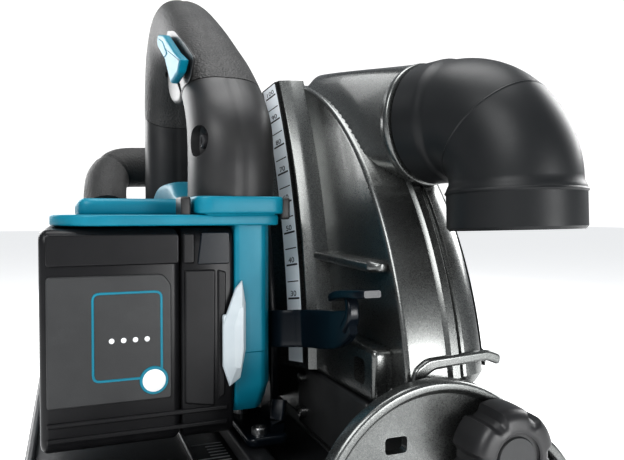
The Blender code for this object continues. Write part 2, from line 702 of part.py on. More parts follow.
def duct(radius, start, end, segments=26):
    """A round bar on the dust outlet's axis."""
    return rod(DUCT_MOUTH + DUCT_AXIS * start, DUCT_MOUTH + DUCT_AXIS * end, radius, segments)


def build_case():
    """The blade case: a left casting with the dust outlet, scale boss and nose, and a right cover."""
    nose = arc(NOSE_RADIUS, -90, 60, 10, (PIVOT_Y, PIVOT_Z))
    left_outline = case_outline(CASE_LEFT_BOTTOM) + [(130 * MM, CASE_LEFT_BOTTOM)] + nose
    left = part("case_left", plate([left_outline], CASE_LEFT, CASE_SEAM - GAP), "gunmetal", "swing_axis")
    join(left, duct(DUCT_RADIUS, -60 * MM, 0), duct(SPIGOT_RADIUS, -2 * MM, SPIGOT_LENGTH))
    cut(left, box((-90 * MM, -200 * MM, 60 * MM), (CASE_LEFT - 0.4 * MM, 0, 250 * MM)))
    throat = DUCT_MOUTH - DUCT_AXIS * DUCT_TAPER
    bore_start = DUCT_MOUTH - DUCT_AXIS * 7 * MM
    cut(left, cavity(CASE_RADIUS - CASE_WALL), rod(throat, bore_start, DUCT_THROAT, 24, DUCT_BORE - 1 * MM),
        duct(DUCT_BORE, -7.5 * MM, SPIGOT_LENGTH + 1 * MM, 24))
    bore = BOSS_RADIUS + GAP
    cut(left, disc(bore, CASE_LEFT - 1 * MM, CASE_SEAM, segments=28))
    cut(left, disc(PIVOT_PIN_RADIUS + GAP, -60 * MM, 30 * MM, (PIVOT_Y, PIVOT_Z), 24))
    slant_x, slant_r = cos(radians(SCALE_SLANT)), sin(radians(SCALE_SLANT))
    face = [(SCALE_RADIUS + slant_r * t, SCALE_X + slant_x * t) for t in (-8 * MM, 6 * MM)]
    section = [(BOSS_INNER_RADIUS, CASE_LEFT + 1 * MM), (BOSS_INNER_RADIUS, BOSS_FACE_X),
               (SCALE_RADIUS - 11 * MM, BOSS_FACE_X), *face,
               (BOSS_OUTER_RADIUS, -30 * MM), (BOSS_OUTER_RADIUS, CASE_LEFT + 1 * MM)]
    join(left, sector(section, (PIVOT_Y, PIVOT_Z), 180 - BOSS_BOTTOM, BOSS_BOTTOM - BOSS_TOP, 10))
    cut(left, disc(CLAMP_BOLT_RADIUS + GAP, -60 * MM, -30 * MM, (CLAMP_Y, CLAMP_Z), 20))
    rear_box = box((-32 * MM, -134 * MM, 46 * MM), (CASE_LEFT + 1 * MM, -106 * MM, 64 * MM))
    rib = box((-32 * MM, -129 * MM, 92 * MM), (CASE_LEFT + 1 * MM, -50 * MM, 96 * MM))
    join(left, rear_box, rib)
    cut(left, box((-34 * MM, -127 * MM, 50 * MM), (-29 * MM, -117 * MM, 60 * MM)))

    right_outline = case_outline(CASE_RIGHT_BOTTOM) + [(CASE_RADIUS, CASE_RIGHT_BOTTOM)]
    right = part("case_right", plate([right_outline], CASE_SEAM, CASE_RIGHT), "gunmetal", "swing_axis")
    cut(right, cavity(CASE_RADIUS - CASE_WALL), duct(DUCT_RADIUS + GAP, -70 * MM, 20 * MM, 26))


def build_scale():
    """The depth scale on the slanted rear face of the scale boss."""
    slant_x, slant_r = cos(radians(SCALE_SLANT)), sin(radians(SCALE_SLANT))
    half = SCALE_WIDTH / 2
    section = []
    for along, lift in ((-half, GAP), (half, GAP), (half, GAP + SCALE_THICK), (-half, GAP + SCALE_THICK)):
        section.append((SCALE_RADIUS + slant_r * along + slant_x * lift,
                        SCALE_X + slant_x * along - slant_r * lift))
    mesh = sector(section, (PIVOT_Y, PIVOT_Z), 180 - SCALE_BOTTOM, SCALE_BOTTOM - SCALE_TOP, 20)
    part("depth_scale", mesh, "scale_silver", "swing_axis")


def build_dust_panel():
    """A removable cover low on the left wall of the case."""
    outline = [(-52 * MM, 14 * MM), (-52 * MM, 43 * MM), (-124 * MM, 43 * MM), (-124 * MM, 38 * MM),
               (-102 * MM, 14 * MM)]
    part("dust_panel", plate([outline], -31 * MM, CASE_LEFT - GAP), "grey_plastic", "swing_axis")


def build_elbow():
    """The dust nozzle: a collar on the outlet's spigot and a bent tube that can be turned."""
    up = Vector((0, 0, 1))
    path = [DUCT_MOUTH + DUCT_AXIS * t for t in (2 * MM, 8 * MM, SPIGOT_LENGTH + 4 * MM)]
    turn_centre = path[-1] - up * ELBOW_BEND_RADIUS
    for step in range(1, 6):
        a = radians(ELBOW_BEND * step / 5)
        path.append(turn_centre + (up * cos(a) + DUCT_AXIS * sin(a)) * ELBOW_BEND_RADIUS)
    heading = DUCT_AXIS * cos(radians(ELBOW_BEND)) - up * sin(radians(ELBOW_BEND))
    path.append(path[-1] + heading * ELBOW_CUFF_LENGTH)
    inner = [path[0] - DUCT_AXIS * 4 * MM, *path[1:-1], path[-1] + heading * 3 * MM]
    elbow = part("dust_elbow", tube(path, ELBOW_RADIUS), "black_rubber", "elbow_axis")
    collar = DUCT_MOUTH + DUCT_AXIS * GAP
    join(elbow, rod(collar, collar + DUCT_AXIS * COLLAR_LENGTH, COLLAR_RADIUS, 28))
    cuff = path[-1] - heading * 12 * MM
    join(elbow, rod(cuff, path[-1] + heading * 1 * MM, COLLAR_RADIUS, 26))
    cut(elbow, tube(inner, ELBOW_BORE), duct(SPIGOT_RADIUS + GAP, -1 * MM, SPIGOT_LENGTH + GAP))


# ---- Lower guard, blade and spindle --------------------------------------------------------------------------------
def build_guard():
    """The lower guard: two side plates and a rim that turn about the arbor boss."""
    inner = GUARD_RADIUS - GUARD_RIM
    half, wall = GUARD_HALF_WIDTH, GUARD_WALL
    section = [(GUARD_HUB_RADIUS - 6 * MM, -half), (GUARD_RADIUS, -half), (GUARD_RADIUS, half),
               (GUARD_SIDE_INNER, half), (GUARD_SIDE_INNER, half - wall), (inner, half - wall),
               (inner, wall - half), (GUARD_HUB_RADIUS - 6 * MM, wall - half)]
    mesh = sector(section, (0, ARBOR_Z), GUARD_START, -GUARD_SWEEP, 20)
    guard = part("lower_guard", mesh, "cast_aluminium", "guard_axis")
    join(guard, ring(BOSS_RADIUS + GAP, GUARD_HUB_RADIUS, -half - 2 * MM, wall - half))
    cut(guard, disc(BOSS_RADIUS + GAP, -half - 3 * MM, 0, segments=28))


def build_guard_spring():
    """The coil that closes the lower guard, round the arbor boss."""
    turns, per_turn, left, right = 3, 14, -20 * MM, -12 * MM
    points = []
    for i in range(turns * per_turn + 1):
        a = 2 * pi * i / per_turn
        x = left + (right - left) * i / (turns * per_turn)
        points.append((x, 21 * MM * cos(a), ARBOR_Z + 21 * MM * sin(a)))
    part("guard_spring", tube(points, 0.9 * MM, 1), "steel", "swing_axis")


def blade_outline():
    """The saw blade's toothed edge: each tooth has a radial face and a sloping back."""
    points = []
    for tooth in range(BLADE_TEETH):
        for share, drop in ((0.0, 0.0), (0.06, 7.5), (0.32, 9.5), (0.62, 3.4)):
            a = 2 * pi * (tooth + share) / BLADE_TEETH
            radius = BLADE_RADIUS - drop * MM
            points.append((radius * cos(a), ARBOR_Z + radius * sin(a)))
    return points


def build_spindle():
    """The blade, its flanges and bolt, the arbor shaft and its gear."""
    half = BLADE_PLATE / 2
    bore = circle(BLADE_BORE + GAP, (0, ARBOR_Z))
    part("saw_blade", plate([blade_outline(), bore], -half, half), "steel", "arbor_axis")
    gear_left = -39 * MM
    shaft = disc(ARBOR_SHAFT_RADIUS, gear_left - 2 * MM, -6.3 * MM, segments=24)
    part("arbor_shaft", shaft, "steel", "arbor_axis")
    inner = part("inner_flange", disc(21 * MM, -6 * MM, -half - GAP, segments=28), "steel", "arbor_axis")
    join(inner, disc(BLADE_BORE, -half - 1 * MM, half, segments=24))
    part("outer_flange", disc(21 * MM, half + GAP, 5 * MM, segments=28), "steel", "arbor_axis")
    bolt = part("blade_bolt", disc(8 * MM, 5 * MM + GAP, 9 * MM, segments=6), "gear_steel", "arbor_axis")
    join(bolt, disc(10 * MM, 5 * MM + GAP, 6.4 * MM, segments=20))
    gear = plate([gear_loop(ARBOR_TEETH, (0, ARBOR_Z)), circle(ARBOR_SHAFT_RADIUS + GAP, (0, ARBOR_Z))],
                 gear_left, gear_left + 10 * MM)
    part("arbor_gear", gear, "gear_steel", "arbor_axis")


def build_idler():
    """The intermediate shaft: a large gear driven by the motor and a pinion that drives the arbor."""
    centre = (IDLER_Y, IDLER_Z)
    gear_left = GEARBOX_LEFT + 2 * MM
    gear = part("idler_gear", plate([gear_loop(IDLER_TEETH, centre)], gear_left, gear_left + GEAR_FACE),
                "gear_steel", "idler_axis")
    join(gear, plate([gear_loop(IDLER_PINION_TEETH, centre)], gear_left + GEAR_FACE - 1 * MM, -29 * MM),
         disc(IDLER_SHAFT_RADIUS, GEARBOX_LEFT - 2 * MM, -27 * MM, centre, 20))


def gearbox_circles(growth):
    """The circles round the arbor, idler and motor pinion that the gear housing wraps."""
    return ((0, ARBOR_Z, ARBOR_BOX_RADIUS + growth), (IDLER_Y, IDLER_Z, IDLER_BOX_RADIUS + growth),
            (ROTOR_Y, ROTOR_Z, ROTOR_BOX_RADIUS + growth))


def build_gearbox():
    """The gear housing on the left wall, its cover and the arbor bearings."""
    circles = gearbox_circles(0)
    inner = gearbox_circles(-GEARBOX_WALL)
    housing = part("gear_housing", plate([hull(circles)], GEARBOX_LEFT, CASE_LEFT - GAP),
                   "cast_aluminium", "swing_axis")
    cut(housing, plate([hull(inner)], GEARBOX_LEFT - 1 * MM, -28.3 * MM))
    join(housing, disc(BOSS_RADIUS, -27 * MM, BOSS_END_X, segments=28))
    cut(housing, disc(BEARING_RADIUS + GAP, -23 * MM, BOSS_END_X + 1 * MM, segments=28),
        disc(ARBOR_SHAFT_RADIUS + 1 * MM, -40 * MM, -20 * MM, segments=24),
        disc(IDLER_SHAFT_RADIUS + GAP, -30 * MM, -26.5 * MM, (IDLER_Y, IDLER_Z), 20))
    lock_centre = (LOCK_BUTTON_Y, ARBOR_Z - LOCK_BUTTON_DROP)
    holes = [circle(IDLER_SHAFT_RADIUS + GAP, (IDLER_Y, IDLER_Z)),
             circle(ROTOR_SHAFT_RADIUS + 8 * MM, (ROTOR_Y, ROTOR_Z)),
             circle(LOCK_SHANK_RADIUS + GAP, lock_centre, 16)]
    cover = plate([hull(circles), *holes], GEAR_COVER_LEFT, GEARBOX_LEFT - GAP)
    part("gear_cover", cover, "cast_aluminium", "swing_axis")
    bearing = ring(ARBOR_SHAFT_RADIUS + GAP, BEARING_RADIUS, -22.7 * MM, BOSS_END_X - 1 * MM)
    part("arbor_bearing", bearing, "steel", "swing_axis")
    head_right = GEAR_COVER_LEFT - GAP - LOCK_TRAVEL
    head = disc(LOCK_BUTTON_RADIUS, head_right - 4 * MM, head_right, lock_centre, 20)
    button = part("spindle_lock", head, "black_plastic", "spindle_lock_axis")
    join(button, disc(LOCK_SHANK_RADIUS, head_right - 1 * MM, GEARBOX_LEFT - GAP, lock_centre, 16))


# ---- Motor ------------------------------------------------------------------------------------------------------------
def build_motor():
    """The motor: rotor, stator, fan, bearings and the teal motor housing."""
    centre = (ROTOR_Y, ROTOR_Z)
    stator_right = GEAR_COVER_LEFT - 10 * MM
    stator_left = stator_right - STATOR_LENGTH
    part("stator", ring(STATOR_BORE, STATOR_RADIUS, stator_left, stator_right, centre, 36), "copper",
         "swing_axis")
    core = disc(ROTOR_RADIUS, stator_left + 1 * MM, stator_right - 1 * MM, centre, 32)
    rotor = part("rotor", core, "gear_steel", "rotor_axis")
    join(rotor, disc(ROTOR_SHAFT_RADIUS, MOTOR_LEFT + 6 * MM, GEARBOX_LEFT + 8 * MM, centre, 16))
    pinion_loops = [gear_loop(ROTOR_TEETH, centre), circle(ROTOR_SHAFT_RADIUS + GAP, centre, 20)]
    pinion_left = GEARBOX_LEFT + 2 * MM
    part("rotor_pinion", plate(pinion_loops, pinion_left, pinion_left + GEAR_FACE), "gear_steel",
         "rotor_axis")
    fan_right = GEAR_COVER_LEFT - 2 * MM
    fan = ring(ROTOR_SHAFT_RADIUS + GAP, FAN_RADIUS, fan_right - FAN_THICK, fan_right, centre)
    part("cooling_fan", fan, "black_plastic", "rotor_axis")
    bearing = ring(ROTOR_SHAFT_RADIUS + GAP, 9.5 * MM, MOTOR_LEFT + 4.3 * MM, MOTOR_LEFT + 11 * MM, centre, 24)
    part("rotor_bearing_rear", bearing, "steel", "swing_axis")
    front = ring(ROTOR_SHAFT_RADIUS + GAP, 12 * MM - GAP, GEAR_COVER_LEFT - 1 * MM, GEARBOX_LEFT - GAP,
                 centre, 24)
    part("rotor_bearing_front", front, "steel", "swing_axis")

    right = GEAR_COVER_LEFT - GAP
    profile = [(MOTOR_RADIUS - MOTOR_WALL, right), (MOTOR_RADIUS, right), (MOTOR_RADIUS, MOTOR_LEFT + 9 * MM),
               (MOTOR_RADIUS - 3 * MM, MOTOR_LEFT + 3 * MM), (MOTOR_RADIUS - 9 * MM, MOTOR_LEFT),
               (6 * MM, MOTOR_LEFT), (6 * MM, MOTOR_LEFT + 4 * MM), (9.8 * MM, MOTOR_LEFT + 4 * MM),
               (9.8 * MM, MOTOR_LEFT + 11 * MM), (13 * MM, MOTOR_LEFT + 11 * MM),
               (13 * MM, MOTOR_LEFT + 4 * MM), (MOTOR_RADIUS - 10 * MM, MOTOR_LEFT + 4 * MM),
               (MOTOR_RADIUS - MOTOR_WALL, MOTOR_LEFT + 11 * MM)]
    housing = part("motor_housing", turned(profile, centre, 28), "teal_plastic", "swing_axis")
    for step in range(6):
        a = 2 * pi * (step + 0.5) / 6
        y, z = ROTOR_Y + 21 * MM * cos(a), ROTOR_Z + 21 * MM * sin(a)
        cut(housing, rod((MOTOR_LEFT - 1 * MM, y, z), (MOTOR_LEFT + 8 * MM, y, z), 5 * MM, 8))


# ---- Body housing, handle and switch --------------------------------------------------------------------------------------
HANDLE_OUTER = [(-93, 104), (-93, 117), (-93.5, 134), (-90, 149), (-79, 163), (-58, 181), (-38, 195), (-13, 211),
                (20, 229), (45, 238), (68, 238), (86, 226), (94, 205), (95, 178), (94, 150), (92, 117),
                (92, 104)]
HANDLE_INNER = [(-54, 133), (-55, 146), (-48, 157), (-30, 166), (-5, 180), (25, 193), (46, 197), (57, 189),
                (60, 170), (56, 150), (46, 138), (20, 131), (-20, 130), (-45, 129)]


def handle_ring():
    """The closed handle loop, cut level at its foot, with round edges."""
    outer = smooth_loop([(y * MM, z * MM) for y, z in HANDLE_OUTER])
    inner = smooth_loop([(y * MM, z * MM) for y, z in HANDLE_INNER])
    return plate([outer, inner], HANDLE_LEFT, HANDLE_RIGHT)


def build_handle():
    """The two handle halves, split on the middle plane and hollow round the switch."""
    for side, low, high in (("left", HANDLE_LEFT - 5 * MM, HANDLE_X - GAP / 2),
                            ("right", HANDLE_X + GAP / 2, HANDLE_RIGHT + 5 * MM)):
        half = part("handle_" + side, handle_ring(), "black_rubber", "swing_axis")
        round_edges(half, HANDLE_ROUND)
        other_low, other_high = (high, HANDLE_RIGHT + 9 * MM) if side == "left" else (
            HANDLE_LEFT - 9 * MM, low)
        cut(half, box((other_low, -200 * MM, 0), (other_high, 200 * MM, 300 * MM)))
        cut(half, box((HANDLE_LEFT - 9 * MM, -200 * MM, 0),
                      (HANDLE_RIGHT + 9 * MM, 200 * MM, HANDLE_BASE_Z)))
        pocket = [(-14, 184), (50, 215), (58, 215), (58, 188), (50, 180), (-2, 170)]
        cut(half, plate([[(y * MM, z * MM) for y, z in pocket]], HANDLE_X - TRIGGER_WIDTH / 2 - 1 * MM,
                        HANDLE_X + TRIGGER_WIDTH / 2 + 1 * MM))


def build_trigger():
    """The trigger, its switch and the lock-off lever on the left of the grip."""
    outline = [(4, 176), (10, 171), (30, 174), (46, 182), (52, 192), (53, 205), (47, 206), (12, 189)]
    half = TRIGGER_WIDTH / 2
    trigger = plate([[(y * MM, z * MM) for y, z in outline]], HANDLE_X - half, HANDLE_X + half)
    round_edges(part("trigger", trigger, "black_plastic", "trigger_axis"), 1.5 * MM)
    lever = [(-12, 201), (-9, 197), (-35, 183), (-52, 169), (-70, 170), (-77, 174), (-60, 181), (-30, 196)]
    outer = plate([[(y * MM, z * MM) for y, z in lever]], HANDLE_LEFT - 4 * MM, HANDLE_LEFT - GAP)
    part("lock_off_lever", outer, "teal_plastic", "lock_axis")


def build_body():
    """The teal body: a right half with the battery column and a left half over the battery."""
    top = HANDLE_BASE_Z - GAP
    front = ROTOR_Y - MOTOR_RADIUS - 1 * MM
    column = [(BATTERY_REAR, COLUMN_BOTTOM + 4 * MM), (BATTERY_REAR, top),
              (92 * MM, top), (92 * MM, ROTOR_Z + MOTOR_RADIUS + GAP), (front, ROTOR_Z + MOTOR_RADIUS + GAP),
              (front, COLUMN_BOTTOM), (BATTERY_REAR + 8 * MM, COLUMN_BOTTOM)]
    split = HANDLE_X
    right = part("body_right", plate([column], BATTERY_RIGHT + GAP, COLUMN_RIGHT), "teal_plastic",
                 "swing_axis")
    cut(right, box((BATTERY_RIGHT - 1 * MM, -200 * MM, ROOF_Z), (split + GAP / 2, 200 * MM, 200 * MM)))
    rail_front, rail_rear = BATTERY_FRONT - 2 * MM, BATTERY_REAR + 14 * MM
    for sign in (-1, 1):
        z = BATTERY_MID_Z + sign * 24 * MM
        neck = box((BATTERY_RIGHT - RAIL_DEPTH, rail_rear, z - 1 * MM),
                   (BATTERY_RIGHT + 1 * MM, rail_front, z + 1 * MM))
        lip = box((BATTERY_RIGHT - RAIL_DEPTH, rail_rear, z - RAIL_LIP),
                  (BATTERY_RIGHT - RAIL_DEPTH + 2 * MM, rail_front, z + RAIL_LIP))
        join(right, neck, lip)
    pocket = box((BATTERY_RIGHT + 4 * MM, -60 * MM, COLUMN_BOTTOM + 8 * MM),
                 (COLUMN_RIGHT - 3 * MM, front - 3 * MM, ROOF_Z - 4 * MM))
    vent = box((COLUMN_RIGHT - 4 * MM, -50 * MM, 50 * MM), (COLUMN_RIGHT + 1 * MM, -46 * MM, ROOF_Z - 17.6 * MM))
    circles = gearbox_circles(2 * GAP)
    cut(right, pocket, vent, plate([hull(circles)], GEAR_COVER_LEFT - GAP, CASE_LEFT))
    roof = plate([rounded_rectangle(-138 * MM, split - GAP / 2, BATTERY_REAR, 92 * MM, 12 * MM)], ROOF_Z,
                 top, PLAN)
    left = part("body_left", roof, "teal_plastic", "swing_axis")
    seat = rod((-160 * MM, ROTOR_Y, ROTOR_Z), (-40 * MM, ROTOR_Y, ROTOR_Z), MOTOR_RADIUS + GAP, 36)
    cut(left, seat)
    board = box((BATTERY_RIGHT + 5 * MM, -50 * MM, 46 * MM), (COLUMN_RIGHT - 4 * MM, front - 5 * MM, ROOF_Z - 11.6 * MM))
    part("controller", board, "circuit_green", "swing_axis")
    block = box((BATTERY_RIGHT - 4.5 * MM, -20 * MM, BATTERY_MID_Z - 14 * MM),
                (BATTERY_RIGHT, rail_front - 4 * MM, BATTERY_MID_Z + 14 * MM))
    part("terminal_block", block, "black_plastic", "swing_axis")


def build_front_handle():
    """The round bail handle over the front of the motor."""
    x_left, x_right = -108 * MM, -41 * MM
    path = [(x_right, 99 * MM, 113 * MM), (x_right, 118 * MM, 132 * MM), (-47 * MM, 128 * MM, 142 * MM),
            (-58 * MM, 132 * MM, 146 * MM), (-86 * MM, 132 * MM, 146 * MM), (-100 * MM, 128 * MM, 142 * MM),
            (x_left, 118 * MM, 132 * MM), (x_left, 103 * MM, 117 * MM)]
    handle = part("front_handle", tube(path, FRONT_HANDLE_RADIUS), "black_rubber", "swing_axis")
    seat = MOTOR_RADIUS + GAP
    circles = gearbox_circles(GAP)
    cut(handle, rod((-160 * MM, ROTOR_Y, ROTOR_Z), (-54 * MM, ROTOR_Y, ROTOR_Z), seat, 36),
        plate([hull(circles)], -60 * MM, -20 * MM))
    join(handle, box((-50 * MM, 98 * MM, 108 * MM), (CASE_LEFT - GAP, 112 * MM, 122 * MM)))


# ---- Battery -----------------------------------------------------------------------------------------------------------------
def battery_shell(low_x, high_x):
    """A plain battery body between two levels of X."""
    outline = rounded_rectangle(BATTERY_REAR, BATTERY_FRONT, BATTERY_BOTTOM, BATTERY_TOP, 6 * MM)
    return plate([outline], low_x, high_x)


def battery_inside(low_x, high_x):
    """The space for the cells."""
    wall = BATTERY_WALL
    return box((low_x, BATTERY_REAR + wall, BATTERY_BOTTOM + wall),
               (high_x, BATTERY_FRONT - wall, BATTERY_TOP - wall))


def build_battery():
    """The battery: a shell on the rails, an outer shell, the cell block and the release button."""
    split = BATTERY_SPLIT
    upper = part("battery_upper", battery_shell(split + GAP, BATTERY_RIGHT), "black_plastic",
                 "battery_axis")
    cut(upper, battery_inside(split - 1 * MM, BATTERY_RIGHT - 9 * MM))
    rail_front, rail_rear = BATTERY_FRONT + 1 * MM, BATTERY_REAR + 13 * MM
    for sign in (-1, 1):
        z = BATTERY_MID_Z + sign * 24 * MM
        cut(upper, box((BATTERY_RIGHT - RAIL_DEPTH - GAP, rail_rear, z - 1 * MM - GAP),
                       (BATTERY_RIGHT + 1 * MM, rail_front, z + 1 * MM + GAP)),
            box((BATTERY_RIGHT - RAIL_DEPTH - GAP, rail_rear, z - RAIL_LIP - GAP),
                (BATTERY_RIGHT - RAIL_DEPTH + 2 * MM + GAP, rail_front, z + RAIL_LIP + GAP)))
    cut(upper, box((BATTERY_RIGHT - 5 * MM, -24 * MM, BATTERY_MID_Z - 15 * MM),
                   (BATTERY_RIGHT + 1 * MM, rail_front, BATTERY_MID_Z + 15 * MM)))
    cut(upper, box((BATTERY_RIGHT - 8 * MM, BATTERY_REAR - 1 * MM, 46 * MM),
                   (BATTERY_RIGHT + 1 * MM, BATTERY_REAR + 7 * MM, 86 * MM)))
    lower = part("battery_lower", battery_shell(BATTERY_LEFT, split), "black_plastic", "battery_axis")
    cut(lower, battery_inside(BATTERY_LEFT + BATTERY_WALL, split + 1 * MM))
    clear = BATTERY_WALL + 2 * MM
    cells = box((BATTERY_LEFT + clear, BATTERY_REAR + clear, BATTERY_BOTTOM + clear),
                (BATTERY_RIGHT - 12 * MM, BATTERY_FRONT - clear, BATTERY_TOP - clear))
    part("battery_cells", cells, "grey_plastic", "battery_axis")
    release = box((BATTERY_RIGHT - 5 * MM, BATTERY_REAR - 4 * MM, 46.6 * MM),
                  (BATTERY_RIGHT - GAP, BATTERY_REAR + 6 * MM, 85.4 * MM))
    part("battery_release", release, "silver_plastic", "release_axis")


def build_depth_lever():
    """The depth clamp lever behind the scale, with its thumb tab, and the clamp bolt."""
    left, right = GUIDE_LEFT - GAP - LEVER_THICK, GUIDE_LEFT - GAP
    y, z = CLAMP_Y, CLAMP_Z
    end = y - LEVER_LENGTH
    outline = [(left, y + 9 * MM), (right, y + 9 * MM), (right, y - 18 * MM), (-39 * MM, y - 27 * MM),
               (-36 * MM, end), (-41 * MM, end), (-44 * MM, y - 31 * MM), (left, y - 24 * MM)]
    half = LEVER_HEIGHT / 2
    mesh = plate([outline], -half, half, PLAN)
    tilt = Matrix.Rotation(radians(-LEVER_RISE), 4, "X")
    place = Matrix.Translation((0, y, z)) @ tilt @ Matrix.Translation((0, -y, 0))
    mesh.transform(place)
    lever = part("depth_lever", mesh, "gloss_black", "lever_axis")
    tab = box((-42 * MM, end - 12 * MM, 19 * MM), (-34 * MM, end + 18 * MM, 22 * MM))
    stem = box((-40.5 * MM, end + 1 * MM, 5 * MM), (-36.9 * MM, end + 6 * MM, 20 * MM))
    for mesh in (tab, stem):
        mesh.transform(place)
    join(lever, stem, tab)
    cut(lever, disc(CLAMP_BOLT_RADIUS + GAP, -60 * MM, -30 * MM, (y, z), 20))
    bolt = disc(CLAMP_BOLT_RADIUS, left + 1 * MM, BOSS_FACE_X + 12 * MM, (y, z), 20)
    part("depth_clamp_bolt", bolt, "steel", "swing_axis")


def build_saw():
    """Builds every piece."""
    build_sole()
    build_quadrant("bevel_quadrant_rear", REAR_QUADRANT_Y)
    build_quadrant("bevel_quadrant_front", FRONT_QUADRANT_Y)
    build_cam("rear_cam", CAM_REAR_Y)
    build_cam("front_cam", CAM_FRONT_Y)
    build_tilt_frame()
    build_depth_guide()
    build_bevel_knob("rear_knob", REAR_KNOB, -1)
    build_bevel_knob("front_knob", FRONT_KNOB, 1)
    build_case()
    build_scale()
    build_dust_panel()
    build_elbow()
    build_guard()
    build_guard_spring()
    build_spindle()
    build_idler()
    build_gearbox()
    build_motor()
    build_handle()
    build_trigger()
    build_body()
    build_front_handle()
    build_battery()
    build_depth_lever()


build_saw()
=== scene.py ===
"""Looks of a cordless track saw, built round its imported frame.

Lengths are millimetres measured like the saw's own drawing: X from the blade plane, Y along the cut,
Z up from the underside of the sole.  Shape.make turns them into metres in the frame's place.
"""

import json
import logging
from dataclasses import dataclass, field
from enum import Enum
from math import atan2, cos, pi, radians, sin
from typing import Any

import bmesh
import bpy
import numpy as np
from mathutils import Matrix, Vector


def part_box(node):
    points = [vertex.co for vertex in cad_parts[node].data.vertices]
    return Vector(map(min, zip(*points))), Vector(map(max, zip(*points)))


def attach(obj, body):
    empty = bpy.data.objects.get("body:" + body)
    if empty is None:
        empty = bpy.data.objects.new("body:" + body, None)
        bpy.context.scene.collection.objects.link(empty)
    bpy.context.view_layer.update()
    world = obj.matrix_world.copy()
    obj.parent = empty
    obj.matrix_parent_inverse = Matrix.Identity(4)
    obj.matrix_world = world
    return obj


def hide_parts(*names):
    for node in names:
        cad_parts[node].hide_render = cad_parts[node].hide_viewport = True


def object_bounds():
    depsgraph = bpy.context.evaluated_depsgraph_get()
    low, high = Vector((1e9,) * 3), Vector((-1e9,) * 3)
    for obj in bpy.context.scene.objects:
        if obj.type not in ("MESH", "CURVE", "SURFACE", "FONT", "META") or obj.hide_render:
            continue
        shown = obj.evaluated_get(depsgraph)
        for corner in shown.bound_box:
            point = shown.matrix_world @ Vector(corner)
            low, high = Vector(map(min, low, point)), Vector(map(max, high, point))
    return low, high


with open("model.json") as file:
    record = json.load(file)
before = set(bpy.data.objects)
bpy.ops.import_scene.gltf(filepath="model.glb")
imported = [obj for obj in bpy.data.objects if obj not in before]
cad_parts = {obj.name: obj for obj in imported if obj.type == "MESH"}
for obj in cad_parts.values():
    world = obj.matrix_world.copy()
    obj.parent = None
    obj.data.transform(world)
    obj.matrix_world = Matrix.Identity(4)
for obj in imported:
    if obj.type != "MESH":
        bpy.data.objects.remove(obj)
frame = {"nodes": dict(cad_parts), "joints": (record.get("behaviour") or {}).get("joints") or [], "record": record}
CAD_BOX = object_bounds()

logging.basicConfig(level=logging.INFO, format="%(message)s")
log = logging.getLogger("track_saw")

MM = 0.001
BLADE_X = sum(corner[0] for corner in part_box("saw_blade")) / 2
JOINTS = {joint["name"]: joint for joint in frame["joints"]}
Colour = tuple[float, float, float]
Spot = tuple | np.ndarray


def joint_place(name: str) -> np.ndarray:
    """Returns a hinge's point in drawing millimetres."""
    return (np.array(JOINTS[name]["pos_m"]) - (BLADE_X, 0, 0)) / MM


def node_box(*names: str) -> tuple[np.ndarray, np.ndarray]:
    """Returns the low and high corners round CAD nodes, in drawing millimetres."""
    corners = np.array([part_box(name) for name in names]) - (BLADE_X, 0, 0)
    return corners[:, 0].min(0) / MM, corners[:, 1].max(0) / MM


ARBOR = joint_place("blade_spin")
PIVOT = joint_place("swing")


# ---- Curves and outlines -------------------------------------------------------------------------
class Plane(Enum):
    """The plane an outline is drawn in; its thickness runs along the third axis."""

    SIDE = "Y and Z, thick along X"
    FACE = "X and Z, thick along Y"
    PLAN = "X and Y, thick along Z"

    def place(self, u: np.ndarray, v: np.ndarray, w: np.ndarray) -> np.ndarray:
        """Returns points from outline coordinates u, v and thickness w."""
        order = {Plane.SIDE: (w, u, v), Plane.FACE: (u, w, v), Plane.PLAN: (u, v, w)}
        return np.stack(np.broadcast_arrays(*order[self]), axis=-1)


def spline(points: list, count: int, closed: bool = False) -> np.ndarray:
    """A Catmull-Rom curve: between knots each point is the cubic whose slopes are half the chord
    between the knots on either side.

    Args:
        points: The knots, in any number of dimensions.
        count: How many points to return.
        closed: Whether the last knot runs on to the first.

    Returns:
        An array of count rows.
    """
    knots = np.asarray(points, float)
    size = len(knots)
    t = np.linspace(0, size if closed else size - 1, count, endpoint=not closed)
    at = np.minimum(t.astype(int), size - 1 if closed else size - 2)
    x = (t - at)[:, None]
    near = [at + step for step in (-1, 0, 1, 2)]
    near = [i % size for i in near] if closed else [np.clip(i, 0, size - 1) for i in near]
    p0, p1, p2, p3 = (knots[i] for i in near)
    return (2 * p1 + (p2 - p0) * x + (2 * p0 - 5 * p1 + 4 * p2 - p3) * x**2
            + (3 * p1 - p0 - 3 * p2 + p3) * x**3) / 2


def arc(radius: float, start: float, end: float, steps: int, centre: Spot = (0, 0)) -> np.ndarray:
    """Returns points at even angles, in degrees, on a circle."""
    a = np.radians(np.linspace(start, end, steps + 1))
    return np.stack([centre[0] + radius * np.cos(a), centre[1] + radius * np.sin(a)], -1)


def circle(radius: float, centre: Spot = (0, 0), steps: int = 48) -> np.ndarray:
    """Returns the points of a whole circle."""
    return arc(radius, 0, 360, steps, centre)[:-1]


def even_angles(count: int) -> np.ndarray:
    """Returns even angles, in radians, once round."""
    return np.linspace(0, 2 * pi, count, endpoint=False)


def unit_circle(count: int) -> np.ndarray:
    """Returns the points of a circle of radius 1."""
    a = even_angles(count)
    return np.stack([np.cos(a), np.sin(a)], -1)


def ramp(x: np.ndarray, start: float, width: float) -> np.ndarray:
    """Returns 0 up to start, then a straight rise that reaches 1 after a width."""
    return np.clip((x - start) / width, 0, 1)


